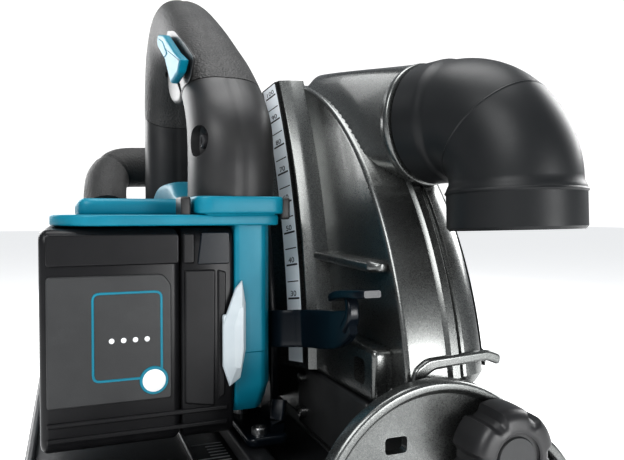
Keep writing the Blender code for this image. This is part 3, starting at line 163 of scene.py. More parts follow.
def soften(corners: list, radius: float, steps: int = 4) -> np.ndarray:
    """Rounds a polygon's corners: each becomes the parabola (1-t)^2 a + 2t(1-t) corner + t^2 b,
    between points a and b that lie a radius away along its two sides, or less on a short side.

    Args:
        corners: The polygon's corners.
        radius: How far from a corner its curve starts.
        steps: The faces across a corner.

    Returns:
        The outline's points.
    """
    here = np.asarray(corners, float)
    sides = [np.roll(here, shift, 0) - here for shift in (1, -1)]
    ends = []
    for side in sides:
        length = np.linalg.norm(side, axis=1, keepdims=True)
        ends.append(here + side / length * np.minimum(radius, length * 0.45))
    t = np.linspace(0, 1, steps + 1)[None, :, None]
    first, last = (end[:, None] for end in ends)
    bend = (1 - t) ** 2 * first + 2 * t * (1 - t) * here[:, None] + t**2 * last
    return bend.reshape(-1, 2)


def rectangle(low: Spot, high: Spot, radius: float, steps: int = 4) -> np.ndarray:
    """Returns a rectangle's outline with round corners."""
    corners = [(low[0], low[1]), (high[0], low[1]), (high[0], high[1]), (low[0], high[1])]
    return soften(corners, radius, steps)


def stretched(section: np.ndarray, wide: Any, high: Any) -> np.ndarray:
    """Returns a unit section times each row's half width and half height."""
    return section[None] * np.stack(np.broadcast_arrays(wide, high), -1)[:, None]


def inset(loop: np.ndarray, distance: float) -> np.ndarray:
    """Moves an outline inwards: each point goes along the sum of its two sides' normals, divided by
    one plus their dot product, which keeps both sides the same distance away.  Where sides turn round,
    in a corner tighter than the distance, their points meet in their middle.

    Args:
        loop: The closed outline.
        distance: How far in; outwards if below 0.

    Returns:
        The moved outline, with as many points.
    """
    ahead = np.roll(loop, -1, 0) - loop
    ahead /= np.maximum(np.linalg.norm(ahead, axis=1, keepdims=True), 1e-9)
    normal = np.stack([-ahead[:, 1], ahead[:, 0]], -1)
    area = (loop[:, 0] * np.roll(loop[:, 1], -1) - np.roll(loop[:, 0], -1) * loop[:, 1]).sum()
    before = np.roll(normal, 1, 0)
    spread = 1 + (normal * before).sum(1, keepdims=True)
    moved = loop + np.sign(area) * distance * (normal + before) / np.maximum(spread, 0.5)
    for _ in range(4):
        turned = ((np.roll(moved, -1, 0) - moved) * ahead).sum(1) < 0
        if not turned.any() or turned.all():
            break
        group = np.cumsum(~np.roll(turned, 1))
        group[group == group[-1]] = group[0] if turned[-1] else group[-1]
        share = np.bincount(group)
        middle = [np.bincount(group, moved[:, i]) / np.maximum(share, 1) for i in (0, 1)]
        moved = np.stack(middle, -1)[group]
    return moved


# ---- Meshes --------------------------------------------------------------------------------------
@dataclass
class Shape:
    """Surfaces gathered into one mesh."""

    points: list = field(default_factory=list)
    faces: list = field(default_factory=list)
    count: int = 0

    def grid(self, points: np.ndarray, wrap_u: bool = False, wrap_v: bool = False) -> "Shape":
        """Adds a four-sided face between neighbours of a rows x columns x 3 array.

        Args:
            points: The surface's points.
            wrap_u: Whether the last row joins the first.
            wrap_v: Whether the last column joins the first.

        Returns:
            The shape.
        """
        index = self.count + np.arange(points.shape[0] * points.shape[1]).reshape(points.shape[:2])
        if wrap_u:
            index = np.vstack([index, index[:1]])
        if wrap_v:
            index = np.hstack([index, index[:, :1]])
        quads = np.stack([index[:-1, :-1], index[1:, :-1], index[1:, 1:], index[:-1, 1:]], -1)
        self.faces += quads.reshape(-1, 4).tolist()
        self.points.append(points.reshape(-1, 3))
        self.count += points.shape[0] * points.shape[1]
        return self

    def rings(self, rings: np.ndarray, closed: bool = False) -> "Shape":
        """Adds closed sections joined in order.

        Args:
            rings: The sections, as sections x points x 3.
            closed: Whether the last joins the first; if not, each end gets a flat face.

        Returns:
            The shape.
        """
        first, columns = self.count, rings.shape[1]
        self.grid(rings, wrap_u=closed, wrap_v=True)
        if not closed:
            self.faces.append(list(range(first, first + columns)))
            self.faces.append(list(range(self.count - columns, self.count))[::-1])
        return self

    def plate(self, outline: np.ndarray, low: float, high: float, plane: Plane,
              edge: float = 0.6, steps: int = 3) -> "Shape":
        """Adds a flat piece with round edges: its rings are the outline inset by edge (1 - cos a)
        where the level is edge (1 - sin a) from a face.

        Args:
            outline: The closed outline.
            low: The lower level of its thickness.
            high: The upper level.
            plane: The plane it is drawn in.
            edge: The edges' radius.
            steps: The faces across an edge.

        Returns:
            The shape.
        """
        edge = min(edge, (high - low) * 0.49)
        a = np.linspace(0, pi / 2, steps + 1)
        depth, level = edge * (1 - np.sin(a)), edge * (1 - np.cos(a))
        inner = [(edge * 1.25, low)]
        levels = inner + [(d, low + l) for d, l in zip(depth, level)]
        levels += [(d, high - l) for d, l in zip(depth[::-1], level[::-1])] + [(edge * 1.25, high)]
        rings = [plane.place(*inset(outline, d).T, np.full(len(outline), w)) for d, w in levels]
        return self.rings(np.array(rings))

    def box(self, low: Spot, high: Spot, edge: float = 0.6, corner: float | None = None) -> "Shape":
        """Adds a box with round edges, drawn in plan; without a corner it takes the edge's radius."""
        outline = rectangle(low[:2], high[:2], corner or edge)
        return self.plate(outline, low[2], high[2], Plane.PLAN, edge)

    def rod(self, radius: float, low: float, high: float, centre: Spot, axis: Plane = Plane.SIDE,
            steps: int = 72) -> "Shape":
        """Adds a plain cylinder between two levels."""
        return self.turned([(0, low), (radius, low), (radius, high), (0, high)], centre, axis, steps)

    def turned(self, profile: Any, centre: Spot, axis: Plane = Plane.SIDE, steps: int = 72,
               start: float = 0, sweep: float = 360) -> "Shape":
        """Adds a closed profile of (radius, level) points turned about an axis: the point at angle a
        is the centre plus radius (cos a, sin a), at its level.

        Args:
            profile: The closed profile.
            centre: The axis' place in the outline plane.
            axis: The plane that the circles lie in.
            steps: The sections in the turn.
            start: The first angle, in degrees.
            sweep: How far it turns; a part turn gets two end faces.

        Returns:
            The shape.
        """
        whole = sweep == 360
        a = np.radians(start + np.linspace(0, sweep, steps + 1))[:, None]
        if whole:
            a = a[:-1]
        radius, level = np.asarray(profile, float).T
        rings = axis.place(centre[0] + radius * np.cos(a), centre[1] + radius * np.sin(a), level)
        return self.rings(rings, closed=whole)

    def swept(self, path: np.ndarray, section: np.ndarray, up: tuple = (0, 0, 1)) -> "Shape":
        """Adds a section carried along a path: a section's point (s, n) lies at the path's point plus
        s times the side direction, path x up, and n times the direction square to both.

        Args:
            path: The path's points.
            section: One closed section, or one for each point of the path.
            up: The direction that fixes the section's turn.

        Returns:
            The shape.
        """
        along = np.gradient(path, axis=0)
        along /= np.linalg.norm(along, axis=1, keepdims=True)
        side = np.cross(along, up)
        side /= np.linalg.norm(side, axis=1, keepdims=True)
        normal = np.cross(side, along)
        section = np.broadcast_to(section, (len(path), *np.shape(section)[-2:]))
        return self.rings(path[:, None] + section[..., :1] * side[:, None]
                          + section[..., 1:] * normal[:, None])

    def make(self, name: str, sharp: float = 32) -> bpy.types.Object:
        """Writes the mesh in metres in the frame's place.

        Args:
            name: The object's name.
            sharp: Edges below this angle, in degrees, are smooth.

        Returns:
            The object.
        """
        mesh = bpy.data.meshes.new(name)
        mesh.from_pydata(np.concatenate(self.points) * MM + (BLADE_X, 0, 0), [], self.faces)
        return add(name, mesh, sharp)


def add(name: str, mesh: bpy.types.Mesh, sharp: float = 32) -> bpy.types.Object:
    """Merges a mesh's doubles, turns its faces outwards and adds it to the scene.

    Args:
        name: The object's name.
        mesh: The mesh, in metres.
        sharp: Edges below this angle, in degrees, are smooth.

    Returns:
        The object.
    """
    bm = bmesh.new()
    bm.from_mesh(mesh)
    bmesh.ops.remove_doubles(bm, verts=bm.verts, dist=0.002 * MM)
    bmesh.ops.dissolve_degenerate(bm, edges=bm.edges, dist=0.001 * MM)
    bmesh.ops.delete(bm, geom=[edge for edge in bm.edges if not edge.link_faces], context="EDGES")
    bmesh.ops.recalc_face_normals(bm, faces=bm.faces)
    bm.to_mesh(mesh)
    bm.free()
    mesh.shade_smooth()
    mesh.set_sharp_from_angle(angle=radians(sharp))
    obj = bpy.data.objects.new(name, mesh)
    bpy.context.scene.collection.objects.link(obj)
    return obj


def carve(obj: bpy.types.Object, *tools: Shape, solver: str = "EXACT",
          crossed: bool = True) -> bpy.types.Object:
    """Cuts shapes out of a piece and keeps the result as its mesh.

    Args:
        obj: The piece.
        *tools: The shapes to cut.
        solver: The Boolean solver, "EXACT" or "FAST".
        crossed: Whether a mesh may cross itself, which takes longer.

    Returns:
        The piece.
    """
    cutters = [tool.make("cutter") for tool in tools]
    for cutter in cutters:
        boolean = obj.modifiers.new("carve", "BOOLEAN")
        boolean.solver = solver
        boolean.use_self = crossed
        boolean.object = cutter
    graph = bpy.context.evaluated_depsgraph_get()
    mesh = bpy.data.meshes.new_from_object(obj.evaluated_get(graph))
    obj.modifiers.clear()
    obj.data = mesh
    mesh.shade_smooth()
    mesh.set_sharp_from_angle(angle=radians(32))
    for cutter in cutters:
        bpy.data.objects.remove(cutter)
    return obj


# ---- Materials -----------------------------------------------------------------------------------
class Value:
    """A node's output that takes part in sums; each operator adds one Math node."""

    def __init__(self, tree: "Tree", socket: Any) -> None:
        """Keeps the tree and the output socket."""
        self.tree, self.socket = tree, socket

    def math(self, operation: str, *inputs: Any) -> "Value":
        """Returns the result of a Math node."""
        return self.tree.node("Math", {"operation": operation}, dict(enumerate(inputs)))

    def __add__(self, other: Any) -> "Value":
        """Returns self + other."""
        return self.math("ADD", self, other)

    def __sub__(self, other: Any) -> "Value":
        """Returns self - other."""
        return self.math("SUBTRACT", self, other)

    def __rsub__(self, other: Any) -> "Value":
        """Returns other - self."""
        return self.math("SUBTRACT", other, self)

    def __mul__(self, other: Any) -> "Value":
        """Returns self x other."""
        return self.math("MULTIPLY", self, other)

    __radd__, __rmul__ = __add__, __mul__

    def between(self, low: float, high: float) -> "Value":
        """Returns a smooth step from 0 at low to 1 at high."""
        sockets = {0: self, 1: low, 2: high}
        return self.tree.node("MapRange", {"interpolation_type": "SMOOTHSTEP"}, sockets)


class Tree:
    """A material's nodes."""

    def __init__(self, name: str) -> None:
        """Starts a material with a Principled shader.

        Args:
            name: The material's name.
        """
        self.material = bpy.data.materials.new(name)
        self.material.use_nodes = True
        self.nodes = self.material.node_tree.nodes
        self.links = self.material.node_tree.links
        self.shader = self.nodes["Principled BSDF"]
        self.coordinates = self.node("TexCoord", {}, {}, "Object")

    def node(self, kind: str, settings: dict, sockets: dict, output: Any = 0) -> Value:
        """Adds a node.

        Args:
            kind: Its type, without the ShaderNode prefix.
            settings: Its settings, which are set first.
            sockets: Input name or number to a value or another node's output.
            output: The output to return.

        Returns:
            That output.
        """
        made = self.nodes.new("ShaderNode" + kind)
        for name, setting in settings.items():
            setattr(made, name, setting)
        for name, value in sockets.items():
            self.feed(made.inputs[name], value)
        return Value(self, made.outputs[output])

    def feed(self, socket: Any, value: Any) -> None:
        """Links a socket, or sets its number or colour."""
        if isinstance(value, Value):
            self.links.new(value.socket, socket)
        else:
            socket.default_value = value

    def noise(self, size: float, detail: float = 2, stretch: tuple = (1, 1, 1)) -> Value:
        """Adds noise.

        Args:
            size: The size of its cells, in millimetres.
            detail: How many finer layers it has.
            stretch: How much closer it lies along each axis.

        Returns:
            The noise, from 0 to 1.
        """
        place = self.node("Mapping", {}, {"Vector": self.coordinates, "Scale": stretch})
        sockets = {"Vector": place, "Scale": 1 / (size * MM), "Detail": detail}
        return self.node("TexNoise", {}, sockets)

    def cells(self, size: float, output: str = "Distance") -> Value:
        """Returns Voronoi cells of a size in millimetres."""
        sockets = {"Vector": self.coordinates, "Scale": 1 / (size * MM)}
        return self.node("TexVoronoi", {}, sockets, output)

    def blend(self, factor: Value, first: Any, second: Any) -> Value:
        """Mixes two colours.

        Args:
            factor: 0 for the first, 1 for the second.
            first: The first colour, or a node's output.
            second: The second colour, or a node's output.

        Returns:
            The mixed colour.
        """
        mix = self.nodes.new("ShaderNodeMix")
        mix.data_type = "RGBA"
        self.feed(mix.inputs[0], factor)
        for socket, value in ((mix.inputs[6], first), (mix.inputs[7], second)):
            self.feed(socket, value if isinstance(value, Value) else (*value, 1))
        return Value(self, mix.outputs[2])

    def bump(self, height: Value, depth: float, under: Value | None = None) -> Value:
        """Bumps the surface.

        Args:
            height: The relief, from 0 to 1.
            depth: The height of its top, in millimetres.
            under: A normal to add it to.

        Returns:
            The bumped normal.
        """
        sockets: dict = {"Height": height, "Distance": depth * MM, "Strength": 1.0}
        if under:
            sockets["Normal"] = under
        return self.node("Bump", {}, sockets)

    def finish(self, **sockets: Any) -> bpy.types.Material:
        """Sets the shader's sockets.

        Args:
            **sockets: The sockets' values, named with underscores for spaces.

        Returns:
            The material.
        """
        for name, value in sockets.items():
            self.feed(self.shader.inputs[name.replace("_", " ")], value)
        return self.material


@dataclass(frozen=True)
class Finish:
    """A moulded or painted surface: two tones, a fine grain, worn patches and a coat.

    Sizes are millimetres.
    """

    name: str
    slot: str
    tone: Colour
    second: Colour
    roughness: float = 0.45
    spread: float = 0.12
    metallic: float = 0.0
    mottle: float = 14.0
    grain: float = 0.5
    depth: float = 0.03
    wear: float = 0.25
    coat: float = 0.0
    coat_roughness: float = 0.1
    specular: float = 0.5

    def material(self) -> bpy.types.Material:
        """Returns the material, built once."""
        return bpy.data.materials.get(self.name) or self.build(Tree(self.name))

    def build(self, tree: Tree) -> bpy.types.Material:
        """Broad noise mixes the two tones and moves the roughness, fine noise is the grain, and
        where a third noise is high the surface is rubbed a little smoother and lighter.

        Args:
            tree: The new material's nodes.

        Returns:
            The material.
        """
        broad = tree.noise(self.mottle, 4)
        fine = tree.noise(self.grain, 2)
        rubbed = tree.noise(self.mottle * 0.4, 6).between(0.56, 0.74) * self.wear
        light = tuple(min(1.0, c * 1.5 + 0.003) for c in self.tone)
        tone = tree.blend(rubbed, tree.blend(broad.between(0.3, 0.7), self.tone, self.second), light)
        rest = self.roughness - self.spread / 2 - 0.04
        rough = broad * self.spread + fine * 0.08 - rubbed * 0.12 + rest
        height = self.relief(tree, fine)
        return tree.finish(Base_Color=tone, Roughness=rough, Metallic=self.metallic,
                           Coat_Weight=self.coat, Coat_Roughness=self.coat_roughness,
                           Specular_IOR_Level=self.specular, Normal=tree.bump(height, self.depth))

    def relief(self, tree: Tree, fine: Value) -> Value:
        """Returns the height of the grain."""
        return fine


@dataclass(frozen=True)
class GripFinish(Finish):
    """Over-moulded rubber with a pebbled skin."""

    def relief(self, tree: Tree, fine: Value) -> Value:
        """Adds pebbles: the distance to the nearest cell's middle, turned over."""
        return (1 - tree.cells(self.grain * 1.6)) * 0.7 + fine * 0.5


@dataclass(frozen=True)
class FlakeFinish(Finish):
    """Metallic paint: small flakes of random brightness under a clear coat."""

    flake: float = 0.32

    def build(self, tree: Tree) -> bpy.types.Material:
        """Each cell's random colour moves the tone and the roughness, over the broad tones.

        Args:
            tree: The new material's nodes.

        Returns:
            The material.
        """
        broad = tree.noise(self.mottle, 3)
        sparkle = tree.node("SeparateColor", {}, {0: tree.cells(self.flake, "Color")})
        fine = tree.noise(self.grain, 2)
        scuff = tree.noise(self.mottle * 0.3, 7, (1, 1, 3)).between(0.6, 0.75) * self.wear
        paint = tree.blend(broad.between(0.3, 0.7), self.tone, self.second)
        bright = tuple(min(1.0, c * 1.9) for c in self.tone)
        tone = tree.blend(sparkle.between(0.45, 1.0) * 0.3, paint, bright)
        tone = tree.blend(scuff, tone, (0.5, 0.5, 0.5))
        rest = self.roughness - self.spread / 2 - 0.05
        rough = sparkle * 0.10 + broad * self.spread + scuff * 0.1 + rest
        height = sparkle * 0.5 + fine * 0.5
        return tree.finish(Base_Color=tone, Roughness=rough, Metallic=self.metallic,
                           Coat_Weight=self.coat, Coat_Roughness=self.coat_roughness,
                           Normal=tree.bump(height, self.depth))


@dataclass(frozen=True)
class BrushedFinish(Finish):
    """Bare metal with fine lines along one direction."""

    stretch: tuple = (1, 1, 0.04)

    def build(self, tree: Tree) -> bpy.types.Material:
        """Stretched noise gives the lines, which move the roughness and the height.

        Args:
            tree: The new material's nodes.

        Returns:
            The material.
        """
        lines = tree.noise(self.grain, 3, self.stretch)
        broad = tree.noise(self.mottle, 4)
        stain = broad.between(0.55, 0.75) * self.wear
        tone = tree.blend(lines.between(0.3, 0.7), self.tone, self.second)
        tone = tree.blend(stain, tone, tuple(c * 0.55 for c in self.tone))
        rough = lines * self.spread + stain * 0.15 + (self.roughness - self.spread / 2)
        return tree.finish(Base_Color=tone, Roughness=rough, Metallic=self.metallic,
                           Normal=tree.bump(lines, self.depth))


TEAL = Finish("teal_shell", "teal_plastic", (0.0, 0.185, 0.265), (0.0, 0.160, 0.232), 0.42, 0.08,
              grain=0.45, depth=0.035, wear=0.04, specular=0.35)
RUBBER = GripFinish("grip_rubber", "black_rubber", (0.036, 0.0355, 0.035), (0.027, 0.027, 0.027),
                    0.56, 0.10, grain=0.7, depth=0.42, wear=0.15, specular=0.35)
SOFT_BLACK = Finish("leg_plastic", "black_rubber", (0.026, 0.026, 0.026), (0.020, 0.020, 0.021),
                    0.45, 0.10, grain=0.35, depth=0.02, wear=0.12, specular=0.35)
HOSE = Finish("nozzle_rubber", "black_rubber", (0.013, 0.014, 0.015), (0.010, 0.011, 0.012), 0.44,
              0.12, grain=0.6, depth=0.015, wear=0.12, specular=0.3)
BLACK = Finish("black_moulding", "black_plastic", (0.018, 0.018, 0.019), (0.013, 0.013, 0.014),
               0.40, 0.12, grain=0.4, depth=0.02, wear=0.2)
BATTERY_GREY = Finish("battery_moulding", "black_plastic", (0.012, 0.012, 0.013),
                      (0.008, 0.008, 0.009), 0.32, 0.10, grain=0.4, depth=0.02, wear=0.08,
                      specular=0.22)
GLOSS = Finish("gloss_black_paint", "gloss_black", (0.004, 0.007, 0.011), (0.003, 0.005, 0.008),
               0.24, 0.06, grain=1.2, depth=0.004, wear=0.05, specular=0.28)
PANEL = Finish("panel_plastic", "grey_plastic", (0.032, 0.033, 0.034), (0.025, 0.026, 0.027), 0.42,
               0.10, grain=0.5, depth=0.02, wear=0.15, specular=0.4)
SILVER = Finish("release_plastic", "silver_plastic", (0.50, 0.55, 0.57), (0.42, 0.47, 0.50), 0.34,
                0.08, grain=0.4, depth=0.01, wear=0.1)
WHITE = Finish("white_plastic", "silver_plastic", (0.82, 0.84, 0.84), (0.76, 0.78, 0.79), 0.35,
               0.08, grain=0.4, depth=0.01, wear=0.1)
GUNMETAL = FlakeFinish("gunmetal_paint", "gunmetal", (0.150, 0.154, 0.150), (0.128, 0.133, 0.131),
                       0.30, 0.05, metallic=0.9, mottle=40, grain=0.5, depth=0.0015, wear=0.04,
                       coat=0.25, coat_roughness=0.08, flake=0.22)
CAST = FlakeFinish("cast_metal", "cast_aluminium", (0.27, 0.275, 0.275), (0.22, 0.226, 0.228), 0.36,
                   0.08, metallic=0.95, mottle=18, grain=0.6, depth=0.004, wear=0.08)
SOLE_BLACK = FlakeFinish("sole_coating", "sole_black", (0.022, 0.023, 0.025), (0.016, 0.017, 0.019),
                         0.36, 0.10, metallic=0.4, mottle=22, grain=0.5, depth=0.01, wear=0.08)
STEEL = BrushedFinish("ground_steel", "steel", (0.62, 0.62, 0.61), (0.48, 0.48, 0.48), 0.28, 0.12,
                      metallic=1.0, mottle=20, grain=0.4, depth=0.006, wear=0.2)
GEAR_STEEL = BrushedFinish("hardened_steel", "gear_steel", (0.36, 0.35, 0.34), (0.26, 0.26, 0.26),
                           0.34, 0.12, metallic=1.0, mottle=8, grain=0.3, depth=0.006, wear=0.4)
COPPER = BrushedFinish("copper_winding", "copper", (0.62, 0.27, 0.13), (0.36, 0.14, 0.07), 0.36,
                       0.1, metallic=0.9, mottle=5, grain=0.6, depth=0.1, wear=0.3,
                       stretch=(0.1, 1, 1))
FOIL = Finish("scale_foil", "scale_silver", (0.86, 0.90, 0.93), (0.76, 0.82, 0.86), 0.34, 0.08,
              metallic=0.05, grain=0.8, depth=0.004, wear=0.05)
INK = Finish("black_ink", "black_plastic", (0.012, 0.012, 0.014), (0.02, 0.02, 0.022), 0.5, 0.1,
             grain=0.3, depth=0.004, wear=0.1)
RED = Finish("red_moulding", "red_plastic", (0.62, 0.012, 0.012), (0.5, 0.01, 0.01), 0.38, 0.08,
             grain=0.4, depth=0.01, wear=0.1)
BOARD = Finish("solder_mask", "circuit_green", (0.015, 0.15, 0.06), (0.01, 0.10, 0.04), 0.4, 0.1,
               grain=1.0, depth=0.03, wear=0.3)
FINISHES = {finish.slot: finish for finish in (
    SOFT_BLACK, BLACK, GLOSS, PANEL, SILVER, GUNMETAL, CAST, SOLE_BLACK, STEEL, GEAR_STEEL, COPPER,
    FOIL, RED, BOARD, TEAL)}


def dress(obj: bpy.types.Object, finish: Finish) -> None:
    """Gives a piece its one material."""
    obj.data.materials.clear()
    obj.data.materials.append(finish.material())


def settle(obj: bpy.types.Object, finish: Finish, body: str, *nodes: str) -> bpy.types.Object:
    """Dresses a piece, lets it ride on a body and hides the nodes it stands for.

    Args:
        obj: The piece.
        finish: Its finish.
        body: The body it rides on.
        nodes: The CAD nodes it replaces.

    Returns:
        The piece.
    """
    dress(obj, finish)
    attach(obj, body)
    if nodes:
        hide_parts(*nodes)
    log.info("%s rides on %s, %d faces", obj.name, body, len(obj.data.polygons))
    return obj


def screw(shape: Shape, place: Spot, radius: float, plane: Plane = Plane.SIDE,
          out: int = -1) -> None:
    """Adds a cap screw's head with its socket: a closed profile turned about its axis.

    Args:
        shape: The shape it is added to.
        place: The middle of its seat.
        radius: The head's radius.
        plane: The plane of its circles.
        out: 1 if its head points along the third axis, -1 if against it.
    """
    w, u, v = {Plane.SIDE: place, Plane.FACE: (place[1], place[0], place[2]),
               Plane.PLAN: (place[2], place[0], place[1])}[plane]
    lift = np.array([(0, 1.2), (0.45, 1.2), (0.5, 2.6), (0.86, 2.9), (1.0, 2.4), (1.0, -0.6),
                     (0, -0.6)])
    profile = np.stack([lift[:, 0] * radius, w + out * lift[:, 1] * radius / 3], -1)
    shape.turned(profile, (u, v), plane, 24)


def screws(name: str, body: str, places: list, radius: float, plane: Plane = Plane.SIDE,
           out: int = -1) -> None:
    """Adds a piece made of steel cap screws.

    Args:
        name: The piece's name.
        body: The body it rides on.
        places: The screws' seats.
        radius: Their heads' radius.
        plane: The plane of their circles.
        out: 1 if the heads point along the third axis, -1 if against it.
    """
    heads = Shape()
    for place in places:
        screw(heads, place, radius, plane, out)
    settle(heads.make(name), STEEL, body)


# ---- Blade case, outlet, scale -------------------------------------------------------------------
@dataclass
class BladeCase:
    """The blade case: a left casting, a right cover, and what is cast or fixed on them."""

    radius: float = 146.0
    wall: float = 3.0
    left: float = -25.0
    seam: float = -3.0
    right: float = 14.0
    seam_gap: float = 0.9
    bead: float = 1.3
    left_bottom: float = 12.0
    right_bottom: float = 33.0
    right_round: float = 15.0
    nose: float = 14.0
    edge: float = 1.6
    arbor_bore: float = 16.3
    pin_bore: float = 5.4
    screw_circle: float = 122.0

    def outline(self, bottom: float, with_nose: bool) -> np.ndarray:
        """The case from the side: an arc about the arbor, a stepped rear edge and a flat foot.

        Args:
            bottom: The height of its foot.
            with_nose: Whether it ends in front in the lug round the swing pin.

        Returns:
            The closed outline.
        """
        start = 10 if with_nose else 1.5
        rim = arc(self.radius, start, 172, 90, ARBOR[1:])
        foot = [(-144.6, 50.6), (-119, 49), (-106, bottom + 5), (-97, bottom)]
        if not with_nose:
            return np.vstack([rim, soften(foot, 4)[3:-1], [(142, bottom)]])
        tip = arc(self.nose, -90, 55, 12, PIVOT[1:])
        return np.vstack([rim, soften(foot + [(130, bottom)], 4)[3:-3], tip])

    def cavity(self) -> Shape:
        """The space for the blade and its guard, open below."""
        inner = self.radius - self.wall
        loop = np.vstack([arc(inner, 0, 180, 72, ARBOR[1:]), [(-inner, -60), (inner, -60)]])
        return Shape().plate(loop, self.left + self.wall, self.right - self.wall, Plane.SIDE, 0.01, 1)

    def shell(self, name: str, loop: np.ndarray, steps: list, solver: str,
              *tools: Shape) -> bpy.types.Object:
        """A solid whose rings are the outline inset by each step's depth at its level of X, and
        hollowed by the cavity.

        Args:
            name: The piece's name.
            loop: The outline.
            steps: The pairs of X and depth.
            solver: The Boolean solver.
            *tools: Further shapes to cut.

        Returns:
            The piece.
        """
        rings = [Plane.SIDE.place(*inset(loop, depth).T, np.full(len(loop), x)) for x, depth in steps]
        solid = Shape().rings(np.array(rings)).make(name)
        return carve(solid, self.cavity(), *tools, solver=solver, crossed=False)

    def build(self) -> None:
        """Builds the left casting, the right cover and their fittings."""
        edge, bead = self.edge, self.bead
        a = np.linspace(0, pi / 2, 5)
        turn = [(self.left + edge * (1 - np.cos(t)), edge * (1 - np.sin(t))) for t in a]
        lip = self.seam - self.seam_gap
        rim = [(lip - 5.0, 0.0), (lip - 4.2, -bead * 0.7), (lip - 3.6, -bead), (lip - 0.6, -bead),
               (lip, -bead + 0.6), (lip, 2.2), (self.seam, 2.2)]
        bore = Shape().rod(self.arbor_bore, -60, 0, ARBOR[1:])
        pin = Shape().rod(self.pin_bore, -60, 30, PIVOT[1:], steps=32)
        outlet = DustOutlet()
        left = self.shell("case_casting", self.outline(self.left_bottom, True),
                          [(self.left, edge * 1.3)] + turn + rim, "EXACT", bore, pin, outlet.inside())
        settle(left, GUNMETAL, "head", "case_left")

        r = self.right_round
        a = np.linspace(0, pi / 2, 12)
        round_off = [(self.right - r + r * np.sin(t), r * (1 - np.cos(t)) * 1.05) for t in a]
        rim = [(self.seam + x, depth) for x, depth in (
            (0.02, 2.2), (0.02, 0.5), (0.5, -0.2), (1.6, -0.4), (2.0, 0.0))]
        right = self.shell("case_cover", self.outline(self.right_bottom, False),
                           rim + round_off + [(self.right, r * 1.05 + 0.6)], "FAST", outlet.inside())
        settle(right, GUNMETAL, "head", "case_right")
        outlet.build()
        self.build_fittings()
        self.build_cover_details()

    def build_fittings(self) -> None:
        """The rib, the bracket with its square hole, the hooked lip and the low dust panel."""
        rib = Shape()
        a = np.concatenate([np.linspace(-131.5, -126, 10), np.linspace(-124, -52, 14)])
        half_height = (2.3 - 0.6 * (a + 131.5) / 80) * np.minimum(1, 0.55 + (a + 131.5) / 9)
        tip = np.minimum(1, 0.15 + np.sqrt(np.maximum(a + 131.5, 0) / 6))
        reach = (4.4 - 0.9 * ((a + 131.5) / 80)) * tip
        path = np.stack([np.full(24, self.left - 2.6), a, 94 + 0.02 * (a + 90)], -1)
        rib.swept(path, stretched(rectangle((-1, -1), (1, 1), 0.8), reach, half_height))
        settle(rib.make("case_rib", 50), GUNMETAL, "head")

        outline = soften([(-52, 43.8), (-133.6, 45.4), (-133.6, 64.2), (-52, 68)], 2.5)
        solid = Shape().plate(outline, self.left - 7.2, self.left + 1, Plane.SIDE, 1.7, 4)
        square = rectangle((-126.5, 50.4), (-117.6, 59.6), 2.2)
        hole = Shape().plate(square, -36, -20, Plane.SIDE, 0.3, 1)
        settle(carve(solid.make("case_bracket"), hole), GUNMETAL, "head")
        # A thin black sheet laid on the case wall inside the bracket's square hole: painted shade in the hole.
        square = rectangle((-127, 49.8), (-117, 60.2), 2)
        dark = Shape().plate(square, -25.6, -25.1, Plane.SIDE, 0.1, 1)
        settle(dark.make("bracket_hole_painted_shade"), INK, "head")

        hook = soften([(-27.2, 43.5), (-20.5, 44.2), (-18.4, 52.6), (-15, 55.2), (7, 56.8),
                       (12.6, 54.5), (13.2, 58.5), (8, 60.4), (-17, 59.2), (-22.4, 56), (-24, 48.4),
                       (-27.2, 47.6)], 1.8)
        lip = Shape().plate(hook + (0, 3.4), -145.5, -142.6, Plane.FACE, 0.9)
        settle(lip.make("case_lip"), GUNMETAL, "head")

        low, high = node_box("dust_panel")
        outline = soften([(high[1], low[2]), (high[1], high[2]), (low[1], high[2]),
                          (low[1], high[2] - 6), (-103, low[2])], 3)
        panel = Shape().plate(outline, low[0] + 0.6, high[0], Plane.SIDE, 1.4)
        settle(panel.make("dust_cover"), PANEL, "head", "dust_panel")
        screws("dust_cover_screws", "head", [(low[0] + 0.6, -60, z) for z in (21, 37)], 2.6)

    def build_cover_details(self) -> None:
        """The right cover's curved and radial ribs and its screws."""
        ribs = Shape()
        for radius in (50, 78):
            profile = rectangle((radius - 1.2, self.right - 1), (radius + 1.2, self.right + 1), 0.5)
            ribs.turned(profile, ARBOR[1:], Plane.SIDE, 60, 4, 172)
        for angle in range(15, 180, 30):
            c, s = cos(radians(angle)), sin(radians(angle))
            mid = np.linspace(52, 112, 12)
            level = np.full(12, self.right + 0.1)
            path = np.stack([level, ARBOR[1] + mid * c, ARBOR[2] + mid * s], -1)
            ribs.swept(path, rectangle((-1.2, -1), (1.2, 1), 0.6), (1, 0, 0))
        settle(ribs.make("cover_ribs"), GUNMETAL, "head")
        angles = np.radians((8, 45, 90, 135, 170))
        seats = np.stack([np.full(5, self.right), ARBOR[1] + self.screw_circle * np.cos(angles),
                          ARBOR[2] + self.screw_circle * np.sin(angles)], -1)
        screws("cover_screws", "head", list(seats), 3.4, out=1)


